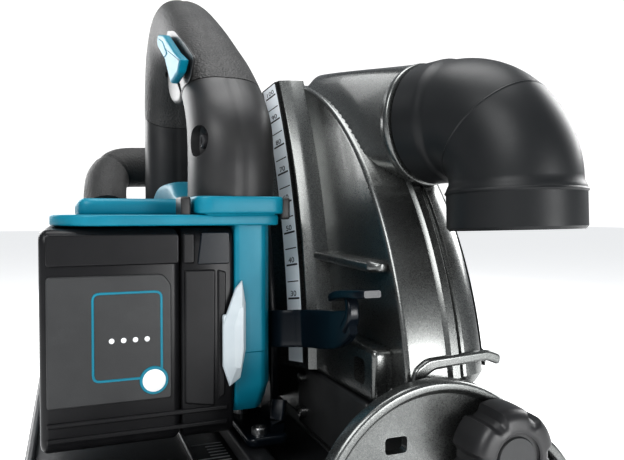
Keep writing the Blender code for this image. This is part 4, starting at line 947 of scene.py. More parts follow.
@dataclass
class DustOutlet:
    """The outlet cast with the case: a wide mouth in the rim that narrows to a round port."""

    port: float = 23.5
    bore: float = 18.0
    spigot: float = 19.7
    length: float = 84.0
    inner_half: float = 19.5
    inner_height: float = 19.0
    inner_z: float = 161.0
    inner_x: float = -5.6
    guard_clear: float = 143.4

    def section(self, share: np.ndarray, wall: float, count: int = 72) -> np.ndarray:
        """Ellipses whose half sizes and middle move smoothly from the port's to the inner end's.

        Args:
            share: Where they lie, from 0 at the port to 1 at the inner end.
            wall: How far they are drawn in.
            count: The points in each.

        Returns:
            The sections, as sections x points x 3.
        """
        mouth, heading = self.axis()
        ease = (share**1.15)[:, None]
        a = even_angles(count)[None, :]
        centre = mouth + heading * (-self.length * share)[:, None]
        x = centre[:, :1] * (1 - ease) + (centre[:, :1] * 0.25 + self.inner_x * 0.75) * ease
        z = mouth[2] + (self.inner_z - mouth[2]) * ease
        wide = self.port + (self.inner_half - self.port) * ease - wall
        high = self.port + (self.inner_height - self.port) * ease**0.9 - wall
        square = 1 + 0.12 * ease * np.cos(2 * a) ** 2
        cross = np.array([-heading[1], heading[0], 0]) * -1
        around = wide * np.cos(a) * square
        points = np.zeros((len(share), count, 3))
        points[..., 0] = x + around * cross[0]
        points[..., 1] = centre[:, 1:2] + around * cross[1]
        points[..., 2] = z + high * np.sin(a) * square
        return points

    def axis(self) -> tuple[np.ndarray, np.ndarray]:
        """The port's middle and the direction it opens in, which are the elbow joint's."""
        return joint_place("elbow_turn"), np.array(JOINTS["elbow_turn"]["axis"])

    def trimmed(self, points: np.ndarray, wall: float) -> np.ndarray:
        """Keeps the skin right of the case's left wall: its least X is the wall's plus a fillet,
        which grows with the square root of the distance outside the case's rim.  Points nearer the
        arbor than the guard's room move out to it.

        Args:
            points: The sections' points, which are changed.
            wall: How far from the left wall the skin stays.

        Returns:
            The points.
        """
        rim = BladeCase.radius
        beyond = np.hypot(points[..., 1] - ARBOR[1], points[..., 2] - ARBOR[2]) - rim
        least = BladeCase.left + wall + 2.1 * np.sqrt(np.maximum(beyond, 0) + 0.01)
        soft = points[..., 0] - least
        points[..., 0] = least + (soft + np.sqrt(soft**2 + 4.0)) / 2
        spread = np.maximum(self.guard_clear / (beyond + rim), 1.0)
        for axis in (1, 2):
            points[..., axis] = ARBOR[axis] + (points[..., axis] - ARBOR[axis]) * spread
        return points

    def inside(self) -> Shape:
        """The passage cut through the case."""
        return Shape().rings(self.trimmed(self.section(np.linspace(0.02, 0.55, 12), 4.0), 5.0))

    def build(self) -> None:
        """The outlet's skin, trimmed at the left wall, with its rolled edge and spigot."""
        mouth, heading = self.axis()
        outer = self.trimmed(self.section(np.linspace(0.045, 1, 48), 0.0), 1.5)
        inner = self.trimmed(self.section(np.linspace(0.0, 1, 24), 3.0), 4.2)
        skin = np.concatenate([outer[::-1], inner])
        duct = Shape().rings(skin, closed=True)
        settle(duct.make("dust_outlet"), GUNMETAL, "head")
        port, spigot = self.port, self.spigot
        profile = soften([(self.bore, -5), (port - 0.8, -5), (port - 0.1, -3), (port + 0.3, -2.0),
                          (port + 0.1, -0.5), (port - 1.2, 0), (spigot, 0.2), (spigot, 8.6),
                          (spigot - 0.8, 9), (self.bore, 9)], 0.8)
        up = np.array([0, 0, 1.0])
        across, rise = unit_circle(96).T[..., None, None]
        around = across * np.cross(heading, up) + rise * up
        rings = mouth + profile[None, :, :1] * around + profile[None, :, 1:] * heading
        settle(Shape().rings(rings, closed=True).make("outlet_rim"), GUNMETAL, "head")


@dataclass
class DustElbow:
    """The bent rubber nozzle on the outlet's spigot."""

    tube: float = 22.0
    bore: float = 18.5
    collar: float = 23.0
    bend: float = 88.0
    bend_radius: float = 24.5
    straight: float = 13.0
    cuff: float = 16.0

    def path(self, first: float, last: float, count: int) -> np.ndarray:
        """The middle line: straight on from the port, an arc that turns down, then straight again.

        Args:
            first: Where it starts, from the port.
            last: Where it ends, from the arc's end.
            count: The number of points.

        Returns:
            The points.
        """
        mouth = joint_place("elbow_turn")
        heading = np.array(JOINTS["elbow_turn"]["axis"])
        up = np.array([0.0, 0.0, 1.0])
        turn = radians(self.bend)
        arc_length = turn * self.bend_radius
        s = np.linspace(first, self.straight + arc_length + last, count)
        a = np.clip((s - self.straight) / self.bend_radius, 0, turn)[:, None]
        lead = np.minimum(s, self.straight)[:, None]
        tail = np.maximum(s - self.straight - arc_length, 0)[:, None]
        out = lead + self.bend_radius * np.sin(a) + tail * cos(turn)
        down = self.bend_radius * (1 - np.cos(a)) + tail * sin(turn)
        return mouth + heading * out - up * down

    def build(self) -> None:
        """The outer skin swells at the collar and the cuff; the bore goes right through."""
        rows, unit = 64, unit_circle(72)
        share = np.linspace(0, 1, rows)
        swell = (1 - ramp(share, 0.17, 0.04)) + ramp(share, 0.76, 0.03)
        rounding = np.clip(1 - share / 0.012, 0, 1) + ramp(share, 0.985, 0.015)
        radius = self.tube + (self.collar - self.tube) * swell - 0.9 * rounding
        bore = self.bore + 1.2 * (1 - ramp(share, 0.18, 0.05)) + 0.8 * ramp(share, 0.95, 0.05)
        path = self.path(0.4, self.cuff + 0.5, rows)
        outer, inner = (Shape().swept(path, size[:, None, None] * unit).points[0].reshape(rows, -1, 3)
                        for size in (radius, bore))
        elbow = Shape().rings(np.concatenate([outer, inner[::-1]]), closed=True)
        settle(elbow.make("nozzle_elbow"), HOSE, "elbow", "dust_elbow")
        self.build_bands(unit)

    def build_bands(self, unit: np.ndarray) -> None:
        """Two thin raised bands: the mould line half way round the bend and the cuff's ring.

        Args:
            unit: The tube's section, of radius 1.
        """
        bands = Shape()
        lines = self.path(0, self.cuff, 200)
        for start, width, height in ((0.47, 3, 0.25), (0.80, 5, 0.5)):
            first = int(start * 200)
            stretch = lines[first:first + width]
            size = np.sin(np.linspace(0, pi, width)) * height + self.tube
            size = size + (self.collar - self.tube if start > 0.7 else 0)
            bands.swept(stretch, size[:, None, None] * unit)
        settle(bands.make("nozzle_bands"), HOSE, "elbow")


@dataclass
class DepthScale:
    """The raised arc on the case, its printed scale, the guide beside it and the red pointer."""

    radius: float = 259.3
    x: float = -38.9
    slant: float = 60.0
    width: float = 9.0
    deepest: int = 100
    shallowest: int = 30
    pointer_angle: float = 30.3
    pointer_radius: float = 260.4
    print_height: float = 3.4

    def depth_angle(self, depth: np.ndarray) -> np.ndarray:
        """Places a depth's mark.  Swinging the head by phi puts the arbor at pivot z + arm
        sin(phi + phi0), and the mark then meets the pointer.

        Args:
            depth: The cutting depth.

        Returns:
            The mark's angle about the swing pin, in degrees.
        """
        arm = np.hypot(PIVOT[1] - ARBOR[1], PIVOT[2] - ARBOR[2])
        rest = atan2(ARBOR[2] - PIVOT[2], PIVOT[1] - ARBOR[1])
        arbor_z = ARBOR[2] + self.deepest - depth
        swing = np.arcsin((arbor_z - PIVOT[2]) / arm) - rest
        return self.pointer_angle - np.degrees(swing)

    def place(self, angle: np.ndarray, along: np.ndarray, lift: float) -> np.ndarray:
        """Places points on the boss's slanted face.

        Args:
            angle: Their angle about the swing pin, in degrees.
            along: Their distance along the slant, from its middle.
            lift: Their height over the face.

        Returns:
            The points.
        """
        sx, sr = cos(radians(self.slant)), sin(radians(self.slant))
        r = self.radius + sr * along + sx * lift
        x = self.x + sx * along - sr * lift
        a = np.radians(180 - angle)
        y, z = PIVOT[1] + r * np.cos(a), PIVOT[2] + r * np.sin(a)
        return np.stack(np.broadcast_arrays(x, y, z), -1)

    def strip(self, angles: np.ndarray, low: float, high: float, lift: float, thick: float) -> Shape:
        """A thin strip along the arc.

        Args:
            angles: The angles of its sections, in degrees.
            low: Its lower edge's distance along the slant.
            high: Its upper edge's.
            lift: Its height over the face.
            thick: Its thickness.

        Returns:
            The strip.
        """
        corners = [(low, lift), (high, lift), (high, lift + thick), (low, lift + thick)]
        rings = np.stack([self.place(angles, np.full(len(angles), s), h) for s, h in corners], 1)
        return Shape().rings(rings)

    def build(self) -> None:
        """Builds the boss, the foil, its marks and numbers, the guide and the pointer."""
        sx, sr = cos(radians(self.slant)), sin(radians(self.slant))
        slant = [(self.radius + sr * along, self.x + sx * along + out)
                 for along, out in ((-8, 0.9), (-5.2, 1.1), (5.2, 0.9), (6.4, -0.2))]
        section = [(236, -24), (236, -45.5), (self.radius - 11, -45.5), *slant, (267, -31),
                   (268.2, -24)]
        boss = Shape().turned(soften(section, 1.1, 5), PIVOT[1:], Plane.SIDE, 90, 180 - 1.6, -30.4)
        top = PIVOT[2] + (self.radius + 4) * sin(radians(31.9))
        cap = Shape().box((-60, -90, top), (0, 10, top + 30), 0.2)
        settle(carve(boss.make("scale_boss"), cap), GUNMETAL, "head")
        border = self.width / 2
        edge = self.strip(np.linspace(2.0, 31.8, 90), -border, border, -0.1, 0.5)
        settle(edge.make("scale_border"), INK, "head")
        foil = self.strip(np.linspace(2.2, 31.6, 90), -border + 0.55, border - 0.55, 0.38, 0.14)
        settle(foil.make("scale_label"), FOIL, "head", "depth_scale")
        self.build_marks()
        self.build_guide()

    def build_marks(self) -> None:
        """A line for every 5 mm of depth, thicker each 10 mm, and the numbers above those."""
        marks = Shape()
        for depth in range(self.shallowest, self.deepest + 1, 5):
            at = float(self.depth_angle(np.array(float(depth))))
            half = 0.085 if depth % 10 == 0 else 0.05
            part = self.strip(np.array([at - half, at + half]), -3.0, 3.2, 0.5, 0.08)
            marks.faces += [[i + marks.count for i in face] for face in part.faces]
            marks.points += part.points
            marks.count += part.count
        settle(marks.make("scale_marks"), INK, "head")
        for depth in range(self.shallowest, self.deepest + 1, 10):
            self.number(depth)

    def number(self, depth: int) -> None:
        """One printed number, bent onto the strip above its mark.

        Args:
            depth: The number.
        """
        text = bpy.data.curves.new("number", "FONT")
        text.body = str(depth)
        text.size = self.print_height
        text.align_x = "CENTER"
        text.extrude = 0.03
        carrier = bpy.data.objects.new("number", text)
        bpy.context.scene.collection.objects.link(carrier)
        graph = bpy.context.evaluated_depsgraph_get()
        mesh = bpy.data.meshes.new_from_object(carrier.evaluated_get(graph))
        bpy.data.objects.remove(carrier)
        flat = np.empty(len(mesh.vertices) * 3, np.float32)
        mesh.vertices.foreach_get("co", flat)
        flat = flat.reshape(-1, 3).astype(float)
        at = float(self.depth_angle(np.array(float(depth)))) + 0.22
        angle = at + np.degrees(flat[:, 1] / self.radius)
        spots = self.place(angle, flat[:, 0], 0.55 + flat[:, 2])
        mesh.vertices.foreach_set("co", (spots * MM + (BLADE_X, 0, 0)).astype(np.float32).ravel())
        mesh.update()
        settle(add(f"scale_number_{depth}", mesh), INK, "head")

    def build_guide(self) -> None:
        """The curved guide plate with its slot, its foot and the red pointer."""
        low, _ = node_box("depth_guide")
        band = np.vstack([arc(257, 186.2, 148.6, 80, PIVOT[1:]),
                          arc(242, 148.6, 186.2, 80, PIVOT[1:])])
        guide = Shape().plate(soften(band, 2, 1), -50, -46.5, Plane.SIDE, 0.8).make("guide_plate")
        slot = np.vstack([arc(253.9, 176.4, 150.8, 60, PIVOT[1:]),
                          arc(245.1, 150.8, 176.4, 60, PIVOT[1:])])
        carve(guide, Shape().plate(slot, -53, -43, Plane.SIDE, 0.05, 1))
        foot = Shape().box((low[0], -86, 16.9), (-46.6, -44, 20.9), 1.2, 4)
        foot.swept(spline([(-50, -80, 20), (-50.5, -82, 26), (-49, -80, 34)], 12),
                   rectangle((-3, -2), (3, 2), 1.2))
        settle(guide, GLOSS, "tilt_frame", "depth_guide")
        settle(foot.make("guide_foot"), GLOSS, "tilt_frame")
        seats = [(-58, y, 20.8) for y in (-80, -50)]
        screws("guide_foot_screws", "tilt_frame", seats, 3.2, Plane.PLAN, 1)
        a, reach = radians(180 - self.pointer_angle), self.pointer_radius
        tip = np.array([-48.3, PIVOT[1] + reach * cos(a), PIVOT[2] + reach * sin(a)])
        pointer = Shape().box(tuple(tip - (1.4, 2.6, 1.3)), tuple(tip + (1.6, 3.0, 1.3)), 0.6)
        settle(pointer.make("red_pointer"), RED, "tilt_frame", "depth_pointer")


@dataclass
class ClampLever:
    """The depth clamp's lever: a flat bar that steps in towards the case, with a thumb tab."""

    rise: float = 7.0
    length: float = 72.0
    height: float = 15.0

    def turn(self, points: np.ndarray) -> np.ndarray:
        """Turns points drawn level with the hub by the lever's rise.

        Args:
            points: The points.

        Returns:
            A turned copy.
        """
        hub = joint_place("depth_lever_turn")
        a = radians(-self.rise)
        y, z = points[..., 1] - hub[1], points[..., 2] - hub[2]
        out = points.copy()
        out[..., 1] = hub[1] + y * cos(a) - z * sin(a)
        out[..., 2] = hub[2] + y * sin(a) + z * cos(a)
        return out

    def build(self) -> None:
        """The bar is swept in plan, the tab is a round plate on a bent stem."""
        hub = joint_place("depth_lever_turn")
        y, z, end = hub[1], hub[2], hub[1] - self.length
        path = spline([(-51.9, y + 8, z), (-51.9, y - 16, z), (-50.8, y - 22, z), (-44.6, y - 28, z),
                       (-41.6, y - 34, z), (-39.6, end + 16, z + 0.6), (-38.5, end + 4, z + 3.4)], 60)
        s = np.linspace(0, 1, 60)
        half = self.height / 2 - 3.4 * ramp(s, 0.72, 0.28) ** 2
        half = half - 2.2 * np.clip(1 - s / 0.06, 0, 1) ** 2
        bar = Shape().swept(path, stretched(rectangle((-1, -1), (1, 1), 0.35), 1.6, half))
        stem = spline([(-38.6, end + 8, z + 1), (-38.4, end + 4.4, z + 5), (-38.3, end + 4.0, z + 9),
                       (-38.2, end + 5.5, z + 12.6)], 24)
        width = np.linspace(1.0, 0.75, 24)
        section = rectangle((-2.1, -2.6), (2.1, 2.6), 1.2)
        bar.swept(stem, section[None] * width[:, None, None], (1, 0, 0))
        tab = np.stack([np.linspace(-38, -38.4, 16), np.linspace(end - 12, end + 18, 16),
                        z + 13.6 - 1.6 * np.linspace(-1, 1, 16) ** 2 * np.linspace(0.2, 1, 16)], -1)
        size = 1 - 0.25 * np.abs(np.linspace(-1, 1, 16)) ** 6
        section = rectangle((-4.2, -1.6), (4.2, 1.6), 1.0)
        bar.swept(tab, section[None] * size[:, None, None])
        bar.points = [self.turn(points) for points in bar.points]
        settle(bar.make("clamp_lever_bar"), GLOSS, "clamp_lever", "depth_lever")
        nut = Shape()
        profile = [(0, -50.2), (7.2, -50.2), (7.2, -54.8), (6.4, -55.6), (4.4, -55.6), (4, -54),
                   (0, -54)]
        nut.turned(soften(profile, 0.4), hub[1:], steps=36)
        settle(nut.make("clamp_nut"), STEEL, "clamp_lever")


# ---- Grip, body, motor ---------------------------------------------------------------------------
@dataclass
class Grip:
    """The closed grip: a leg behind, the hand grip above and a leg in front."""

    middle: float = -68.5
    half: float = 17.0
    base: float = 119.3
    groove: float = 0.45
    power: float = 0.80
    screw: tuple = (-83.5, 141)
    outer: tuple = ((-93, 112), (-93, 119.3), (-93.5, 134), (-90, 149), (-79, 163), (-58, 181),
                    (-38, 195), (-13, 211), (20, 229), (45, 238), (68, 238), (86, 226), (94, 205),
                    (95, 178), (94, 150), (93, 119.3), (93, 112))
    inner: tuple = ((-55, 112), (-55, 119.3), (-56, 134), (-55, 147), (-49, 157), (-36, 165),
                    (-20, 172), (2, 184), (25, 195), (40, 199), (50, 197), (58, 189), (62, 176),
                    (62, 163), (61, 148), (60, 119.3), (60, 112))
    lower_split: float = 0.273
    front_split: float = 0.80

    def section(self, share: np.ndarray, grow: float = 0.0) -> np.ndarray:
        """Superellipses between the inner and outer curves, cos and sin raised to a power below 1,
        with a narrow groove where they cross the middle plane.

        Args:
            share: Where they lie, from 0 at the rear leg's foot to 1 at the front leg's.
            grow: How much larger than the grip they are.

        Returns:
            The sections, as sections x points x 3.
        """
        fine = np.linspace(0, 1, 401)
        outer, inner = (np.stack([np.interp(share, fine, axis) for axis in spline(curve, 401).T], -1)
                        for curve in (self.outer, self.inner))
        mid, reach = (outer + inner) / 2, (outer - inner) / 2
        a = even_angles(128) + pi / 128
        c, s = np.cos(a), np.sin(a)
        across, out = np.sign(s) * np.abs(s) ** self.power, np.sign(c) * np.abs(c) ** self.power
        dip = self.groove * np.exp(-(np.abs(s) / 0.035) ** 2)
        waist = 1 - 0.10 * np.exp(-((share - 0.52) / 0.16) ** 2)
        size = np.linalg.norm(reach, axis=1, keepdims=True)
        unit = reach / size
        radial = (size + grow) * out[None, :] - dip[None, :] * np.sign(out)[None, :]
        points = np.zeros((len(share), len(a), 3))
        points[..., 0] = self.middle + (self.half * waist[:, None] + grow) * across[None, :]
        points[..., 1] = mid[:, :1] + unit[:, :1] * radial
        points[..., 2] = mid[:, 1:] + unit[:, 1:] * radial
        return points

    def tapered(self, first: float, last: float, rows: int) -> np.ndarray:
        """Sections drawn in a little at each end for a clean shadow line.

        Args:
            first: The share of the first section.
            last: The share of the last.
            rows: How many lie between the ends.

        Returns:
            The sections.
        """
        share = np.linspace(first, last, rows)
        start, end = self.section(share[:1], -0.7), self.section(share[-1:], -0.7)
        return np.concatenate([start, self.section(share), end])

    def build(self) -> None:
        """The rubber grip, its two smooth legs, the trigger and the lock-off lever."""
        legs = []
        for name, first, last in (("grip_rear_leg", 0.0, self.lower_split - 0.0015),
                                  ("grip_front_leg", self.front_split + 0.0015, 1.0)):
            leg = Shape().rings(self.tapered(first, last, 48)).make(name)
            trim = Shape().box((-120, -150, 60), (0, 150, self.base), 0.01)
            legs.append(carve(leg, trim, crossed=False))
        profile = [(0, -60), (4.2, -60), (4.2, -79.5), (6.2, -82), (6.2, -100), (0, -100)]
        hole = Shape().turned(profile, self.screw, steps=32)
        carve(legs[0], hole, crossed=False)
        settle(legs[0], SOFT_BLACK, "head", "handle_right")
        settle(legs[1], SOFT_BLACK, "head")
        rings = self.tapered(self.lower_split, self.front_split, 120)
        grip = Shape().rings(rings).make("grip_rubber")
        low, high = node_box("trigger")
        slot = Shape().box(low - (0.7, 3, 12), (high[0] + 0.7, high[1] + 2, 198), 1.0)
        lever_low, lever_high = node_box("lock_off_lever")
        lever_seat = soften([(-8, 205), (-5, 198), (-33, 181), (-50, 165), (-70, 168), (-79, 175),
                             (-62, 184), (-30, 199)], 2.5)
        seat = Shape().plate(lever_seat, lever_low[0] - 1, lever_high[0] + 2.0, Plane.SIDE, 0.3, 1)
        settle(carve(grip, slot, seat), RUBBER, "head", "handle_left")
        level = lever_high[0] + 1.6
        floor = Shape().plate(inset(lever_seat, 0.4), level, level + 0.8, Plane.SIDE, 0.2, 1)
        settle(floor.make("lever_seat_floor"), BLACK, "head")
        dark = Shape().rod(4.3, -80.2, -79.0, self.screw, steps=32)
        screw(dark, (-79.6, *self.screw), 3.0)
        settle(dark.make("grip_screw"), INK, "head")
        self.build_controls()

    def build_controls(self) -> None:
        """The trigger with its curved front and the lock-off lever with a raised ridge."""
        low, high = node_box("trigger")
        outline = spline([(4.5, 177), (9, 172), (20, 172.5), (32, 175), (42, 179.5), (49, 186),
                          (52, 195), (52, 204), (45, 204), (25, 196), (10, 187)], 66, closed=True)
        trigger = Shape().plate(outline, low[0], high[0], Plane.SIDE, 3.2, 5)
        settle(trigger.make("switch_trigger"), BLACK, "switch", "trigger")
        low, high = node_box("lock_off_lever")
        outline = soften([(-12, 201), (-9, 197), (-35, 183), (-52, 169), (-70, 170), (-77, 174),
                          (-60, 181), (-30, 196)], 1.5)
        lever = Shape().plate(outline, low[0], high[0] + 0.2, Plane.SIDE, 1.2)
        ridge = soften([(-16, 198), (-14, 195), (-36, 184), (-44, 184), (-30, 193)], 1.5)
        lever.plate(ridge, low[0] - 0.4, low[0] + 1, Plane.SIDE, 0.4)
        settle(lever.make("lock_lever"), TEAL, "lock_off", "lock_off_lever")


@dataclass
class Body:
    """The teal housing: the column beside the battery, the roof over it and the grip's collars."""

    left: float = -138.0
    right: float = -54.0
    front: float = 92.0
    roof: float = 107.9
    top: float = 119.0

    def column(self) -> Shape:
        """Level sections of the column: a polygon with a broad chamfer at the rear right corner,
        which shrinks towards the sloping foot."""
        levels = np.array([34.0, 34.6, 38.0, 44.0, 57.4, 58.0, 84.0, 100.0, 108.0, 113.0, 113.6])
        foot = np.clip((44.0 - levels) / 10.0, 0, 1)
        loop = soften([(-70.9, -90.2), (-69.6, -91.0), (-60.0, -91.0), (-58.2, -89.9), (-55.4, -84.5),
                       (self.right, -80.5), (self.right, -20.0), (self.right, 22.0), (-56.0, 26.0),
                       (-70.9, 26.0)], 0.7, 3)
        rings = np.zeros((len(levels), len(loop), 3))
        rings[..., 0] = loop[None, :, 0] - foot[:, None] * 2.2 * (loop[None, :, 0] > -66)
        rings[..., 1] = loop[None, :, 1] + foot[:, None] ** 2 * 3.5 * (loop[None, :, 1] < -60)
        rings[..., 1] += ((levels < 57.8) * 0.5)[:, None] * (loop[None, :, 1] < -89)
        rings[..., 2] = levels[:, None]
        return Shape().rings(rings)

    def build(self) -> None:
        """Builds the column with its vents, the roof, the collars, the hump and the strap lugs."""
        column = self.column().make("body_column")
        vents = [Shape().box((self.right - 2.2, -60 + y, 52), (self.right + 1, -56.4 + y, 88), 0.8)
                 for y in range(0, 72, 9)]
        idler = joint_place("idler_spin")
        vents.append(Shape().rod(9, -64, -50, idler[1:], steps=32))
        gear_low, _ = node_box("gear_cover")
        recess = belt([(ARBOR[1], ARBOR[2], 24), (idler[1], idler[2], 53)])
        vents.append(Shape().plate(recess, gear_low[0] - 0.4, self.right + 3, Plane.SIDE, 0.05, 1))
        settle(carve(column, *vents), TEAL, "head", "body_right")
        shade = Shape().box((-70, -62, 50), (-56.6, 18, 90), 0.5)
        settle(shade.make("vent_shade"), BLACK, "head")

        roof = Shape()
        outline = soften([(self.left, -80), (self.left, 30), (-131, self.front), (-52, self.front),
                          (-51, 20), (-51, -85), (-54, -92.5), (-126, -92.5)], 9, 6)
        roof.plate(outline, self.roof, self.roof + 4.2, Plane.PLAN, 0.8)
        outline = soften([(-128, -70), (-128, 30), (-119, 84), (-54, 84), (-53, 20), (-53, -93),
                          (-84, -94), (-86, -70)], 6, 6)
        roof.plate(outline, self.roof + 3, self.top - 0.4, Plane.PLAN, 2.6, 4)
        settle(roof.make("body_roof"), TEAL, "head", "body_left")

        collar = Shape()
        for y0, y1 in ((-94.6, -53.5), (58.5, 94.6)):
            outline = rectangle((-86.5, y0), (-50.6, y1), 7, 6)
            collar.plate(outline, 112.4, self.top + 0.25, Plane.PLAN, 1.0, 3)
        settle(collar.make("grip_collars"), TEAL, "head")

        y = np.linspace(-56, 62, 60)
        crown = 8.5 * np.exp(-((y - 4) / 34) ** 4) + 1.5
        path = np.stack([np.full(60, Grip.middle), y, 117 + crown / 2], -1)
        section = rectangle((-1, -1), (1, 1), 0.55, 6)
        hump = Shape().swept(path, stretched(section, Grip.half, crown / 2 + 2))
        settle(hump.make("body_hump"), TEAL, "head")

        latch = Shape()
        for x in (-89.5, -49.6):
            latch.box((x - 2.2, -91, 110.2), (x + 1.6, -78, 119), 1.0)
        settle(latch.make("strap_lugs"), SOFT_BLACK, "head")
        self.build_yoke()

    def build_yoke(self) -> None:
        """The housing's front, which runs down round the motor's drum."""
        outline = soften([(26, 74), (26, 109), (98, 109), (104, 98), (106, 84), (100, 60), (92, 44),
                          (40, 34), (26, 50)], 8, 5)
        yoke = Shape().plate(outline, -70.5, -56, Plane.SIDE, 3).make("motor_yoke")
        _, motor_high = node_box("motor_housing")
        motor = joint_place("motor_spin")
        bore = Shape().rod(motor_high[2] - motor[2], -160, -40, motor[1:])
        settle(carve(yoke, bore), TEAL, "head")


@dataclass
class Motor:
    """The motor drum with cooling fins and vents, and the gear case with its cover."""

    fins: int = 26
    lock_bore: float = 3.7

    def build(self) -> None:
        """The drum is a turned profile whose radius dips between fins over its rear end."""
        low, high = node_box("motor_housing")
        centre = joint_place("motor_spin")
        radius = high[2] - centre[2]
        rear = low[0]
        knots = [(high[0], 0), (high[0], radius), (rear + 14, radius), (rear + 8, radius - 1.2),
                 (rear + 3, radius - 5), (rear + 0.8, radius - 9.5), (rear, radius - 13), (rear, 13),
                 (rear + 1.6, 11), (rear + 1.6, 0)]
        stretches = [np.linspace(first, last, 5)[:-1] for first, last in zip(knots, knots[1:])]
        x, r = np.vstack([*stretches, knots[-1:]]).T
        a = even_angles(312)[:, None]
        notch = np.clip(np.sin(a * self.fins) * 3, 0, 1) * 1.8
        r = r - notch * ((x < rear + 8) & (r > radius * 0.45))
        rings = Plane.SIDE.place(centre[1] + r * np.cos(a), centre[2] + r * np.sin(a), x)
        drum = Shape().rings(rings, closed=True)
        settle(drum.make("motor_drum"), TEAL, "head", "motor_housing")
        band = Shape()
        profile = rectangle((radius - 1, -96), (radius + 0.9, -84), 0.8)
        band.turned(profile, centre[1:], steps=96)
        settle(band.make("motor_band"), SOFT_BLACK, "head")
        self.build_gear_case(centre)

    def build_gear_case(self, motor: np.ndarray) -> None:
        """The gear case's outline is the belt round three circles; screws stand inside its edge.

        Args:
            motor: The middle of the motor's axis.
        """
        idler = joint_place("idler_spin")
        cover_low, cover_high = node_box("gear_cover")
        case_low, case_high = node_box("gear_housing")
        loop = belt([(ARBOR[1], ARBOR[2], 23), (idler[1], idler[2], 52), (motor[1], motor[2], 16)])
        lock_low, lock_high = node_box("spindle_lock")
        middle = (lock_low + lock_high) / 2
        shank = Shape().rod(self.lock_bore, -60, case_high[0] - 1, middle[1:], steps=28)
        case = Shape().plate(loop, case_low[0], case_high[0], Plane.SIDE, 1.5).make("gear_case")
        settle(carve(case, shank), CAST, "head", "gear_housing")
        cover = Shape().plate(loop, cover_low[0], cover_high[0], Plane.SIDE, 1.2)
        settle(carve(cover.make("gear_case_cover"), shank), CAST, "head", "gear_cover")
        spots = inset(loop, 5)[::len(loop) // 7]
        screws("gear_cover_screws", "head", [(cover_low[0], *spot) for spot in spots], 2.8)


def belt(circles: list) -> np.ndarray:
    """The line of a belt round circles: for each direction, the furthest point of all circles.

    Args:
        circles: The circles, each as its middle's two coordinates and its radius.

    Returns:
        The closed outline.
    """
    unit = unit_circle(180)
    spots = np.array([np.array(c[:2]) + c[2] * unit for c in circles])
    reach = (spots * unit).sum(-1)
    return spots[reach.argmax(0), np.arange(len(unit))]


@dataclass
class FrontHandle:
    """The bail handle over the front of the motor."""

    radius: float = 13.6

    def build(self) -> None:
        """A round section carried along a smooth bail, full in its middle, with two grooves."""
        path = spline([(-41, 99, 113), (-41, 112, 126), (-43.5, 123, 137), (-52, 130.5, 144.5),
                       (-66, 132, 146), (-82, 132, 146), (-97, 130.5, 144.5), (-105.5, 123, 137),
                       (-108, 112, 126), (-108, 101, 115)], 120)
        unit = unit_circle(48) * self.radius
        s = np.linspace(0, 1, 120)
        size = 1 + 0.03 * np.exp(-((s - 0.5) / 0.2) ** 2) - 0.06 * np.exp(-((s - 0.28) / 0.012) ** 2)
        size = size - 0.06 * np.exp(-((s - 0.72) / 0.012) ** 2)
        bail = Shape().swept(path, unit[None] * size[:, None, None], (0.0, -0.72, 0.69))
        motor = joint_place("motor_spin")
        _, high = node_box("motor_housing")
        bore = Shape().rod(high[2] - motor[2] + 0.1, -160, -54, motor[1:])
        settle(carve(bail.make("bail_handle"), bore, crossed=False), RUBBER, "head", "front_handle")
        foot = Shape().box((-50, 98, 108), (-25.2, 112, 122), 2.4)
        settle(foot.make("bail_foot"), CAST, "head")


